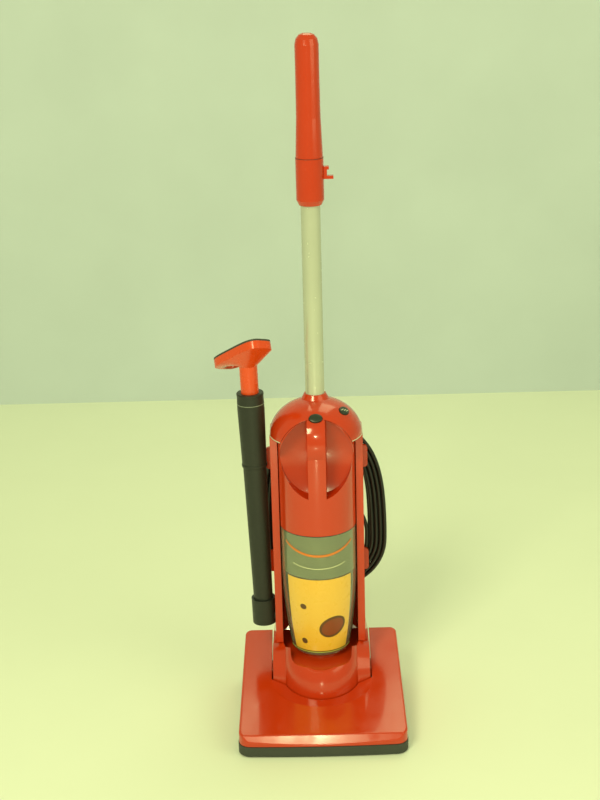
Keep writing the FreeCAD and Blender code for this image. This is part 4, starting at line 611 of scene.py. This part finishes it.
finish(black, "wand_holder", "wand_lower", "wand_upper")
lean = math.radians(1.46)
wand_place = Matrix.Translation((-0.097, 0.005, 0.150)) @ Matrix.Rotation(-lean, 4, "Y")
rings = bmesh.new()
turned(rings, ring_outline(0.0206, 0.2935, 0.0009, 0.0050), 56, wand_place)
turned(rings, ring_outline(0.0221, 0.4185, 0.0006, 0.0036), 56, wand_place)
finished("wand_rings", rings, "wand_end", "black_plastic", black)
grey_line = surface("grey_line", (0.30, 0.33, 0.27), 0.3, blotch=40, grain=0.02, edge=0)
glint = bmesh.new()
turned(glint, ring_outline(0.0225, 0.4025, 0.0003, 0.0009), 56, wand_place)
finished("wand_line", glint, "wand_end", "black_plastic", grey_line)

# The stretch hose is dark soft vinyl over a spiral wire: its ribs lie close together inside the wand.
hose_inside, hose_valley, hose_ridge, hose_ribs = 0.0105, 0.0118, 0.0129, 60
hose_outline = [(hose_inside, 0.0212), (hose_valley, 0.0212)]
for rib in range(hose_ribs):
    low = 0.0214 + 0.2494 * rib / hose_ribs
    hose_outline += [(hose_valley, low), (hose_ridge, low + 0.0010), (hose_ridge, low + 0.0025),
                     (hose_valley, low + 0.0035)]
hose_outline += [(hose_valley, 0.2709), (hose_inside, 0.2709)]
hose = bmesh.new()
turned(hose, hose_outline, 32, wand_place)
finished("ribbed_hose", hose, "upright", "soft_rubber", rubber, "stretch_hose")

# The upholstery tool is orange plastic with a skewed rectangular mouth, pushed into the wand's top. A soft
# dark strip runs round its mouth.
orange = surface("tool_orange", (0.78, 0.075, 0.006), 0.26, second=(0.70, 0.055, 0.006), blotch=9, grain=0.04,
                 edge=0.0012, coat=0.25)
finish(orange, "upholstery_tool")
finish(soft, "tool_lip")


# The floor and the sheet behind it are pale and plain. They are only there to stand the cleaner on.
def paper(name, colour, strength):
    """A dull, slightly cloudy surface."""
    material = bpy.data.materials.new(name)
    material.use_nodes = True
    tree = material.node_tree
    shader = tree.nodes["Principled BSDF"]
    shader.inputs["Roughness"].default_value = 0.85
    shader.inputs["Specular IOR Level"].default_value = 0.2
    place = tree.nodes.new("ShaderNodeTexCoord")
    mix = clouded(tree, place, colour, [c * (1 - strength) for c in colour], 3, 6)
    tree.links.new(mix.outputs["Result"], shader.inputs["Base Color"])
    return material


floor = bmesh.new()
brick(floor, (-3, -3, -0.02), (3, 1.66, 0))
sheet = bmesh.new()
brick(sheet, (-3, 1.64, -0.02), (3, 1.68, 3))
shaped("floor", floor, paper("floor_paint", (0.86, 0.90, 0.78), 0.05))
shaped("backdrop", sheet, paper("sheet_cloth", (0.68, 0.76, 0.84), 0.16))

# Soft light: a broad lamp above and left of the camera, a weaker one at the right, one behind, a small one
# near the floor in front, a small one beside the camera, and an even pale green sky.
body_middle = Vector((0, 0, 0.45))
for name, place, size, power in (("key", (-1.1, -2.3, 2.6), 0.9, 50), ("fill", (1.8, -1.4, 1.5), 1.6, 13),
                                 ("back", (0.3, 1.2, 2.6), 1.4, 14), ("low", (-0.02, -1.30, 0.03), 0.10, 0.5),
                                 ("flash", (-0.05, -2.39, 1.47), 0.12, 7)):
    lamp = bpy.data.lights.new(name, "AREA")
    lamp.size = size
    lamp.energy = power
    lamp.color = (1.0, 1.0, 0.55)
    holder = bpy.data.objects.new(name, lamp)
    holder.location = place
    holder.rotation_euler = (body_middle - Vector(place)).to_track_quat("-Z", "Y").to_euler()
    scene.collection.objects.link(holder)
world = bpy.data.worlds.new("sky")
scene.world = world
world.use_nodes = True
sky = world.node_tree.nodes["Background"]
sky.inputs["Color"].default_value = (0.90, 1.0, 0.49, 1)
sky.inputs["Strength"].default_value = 0.52
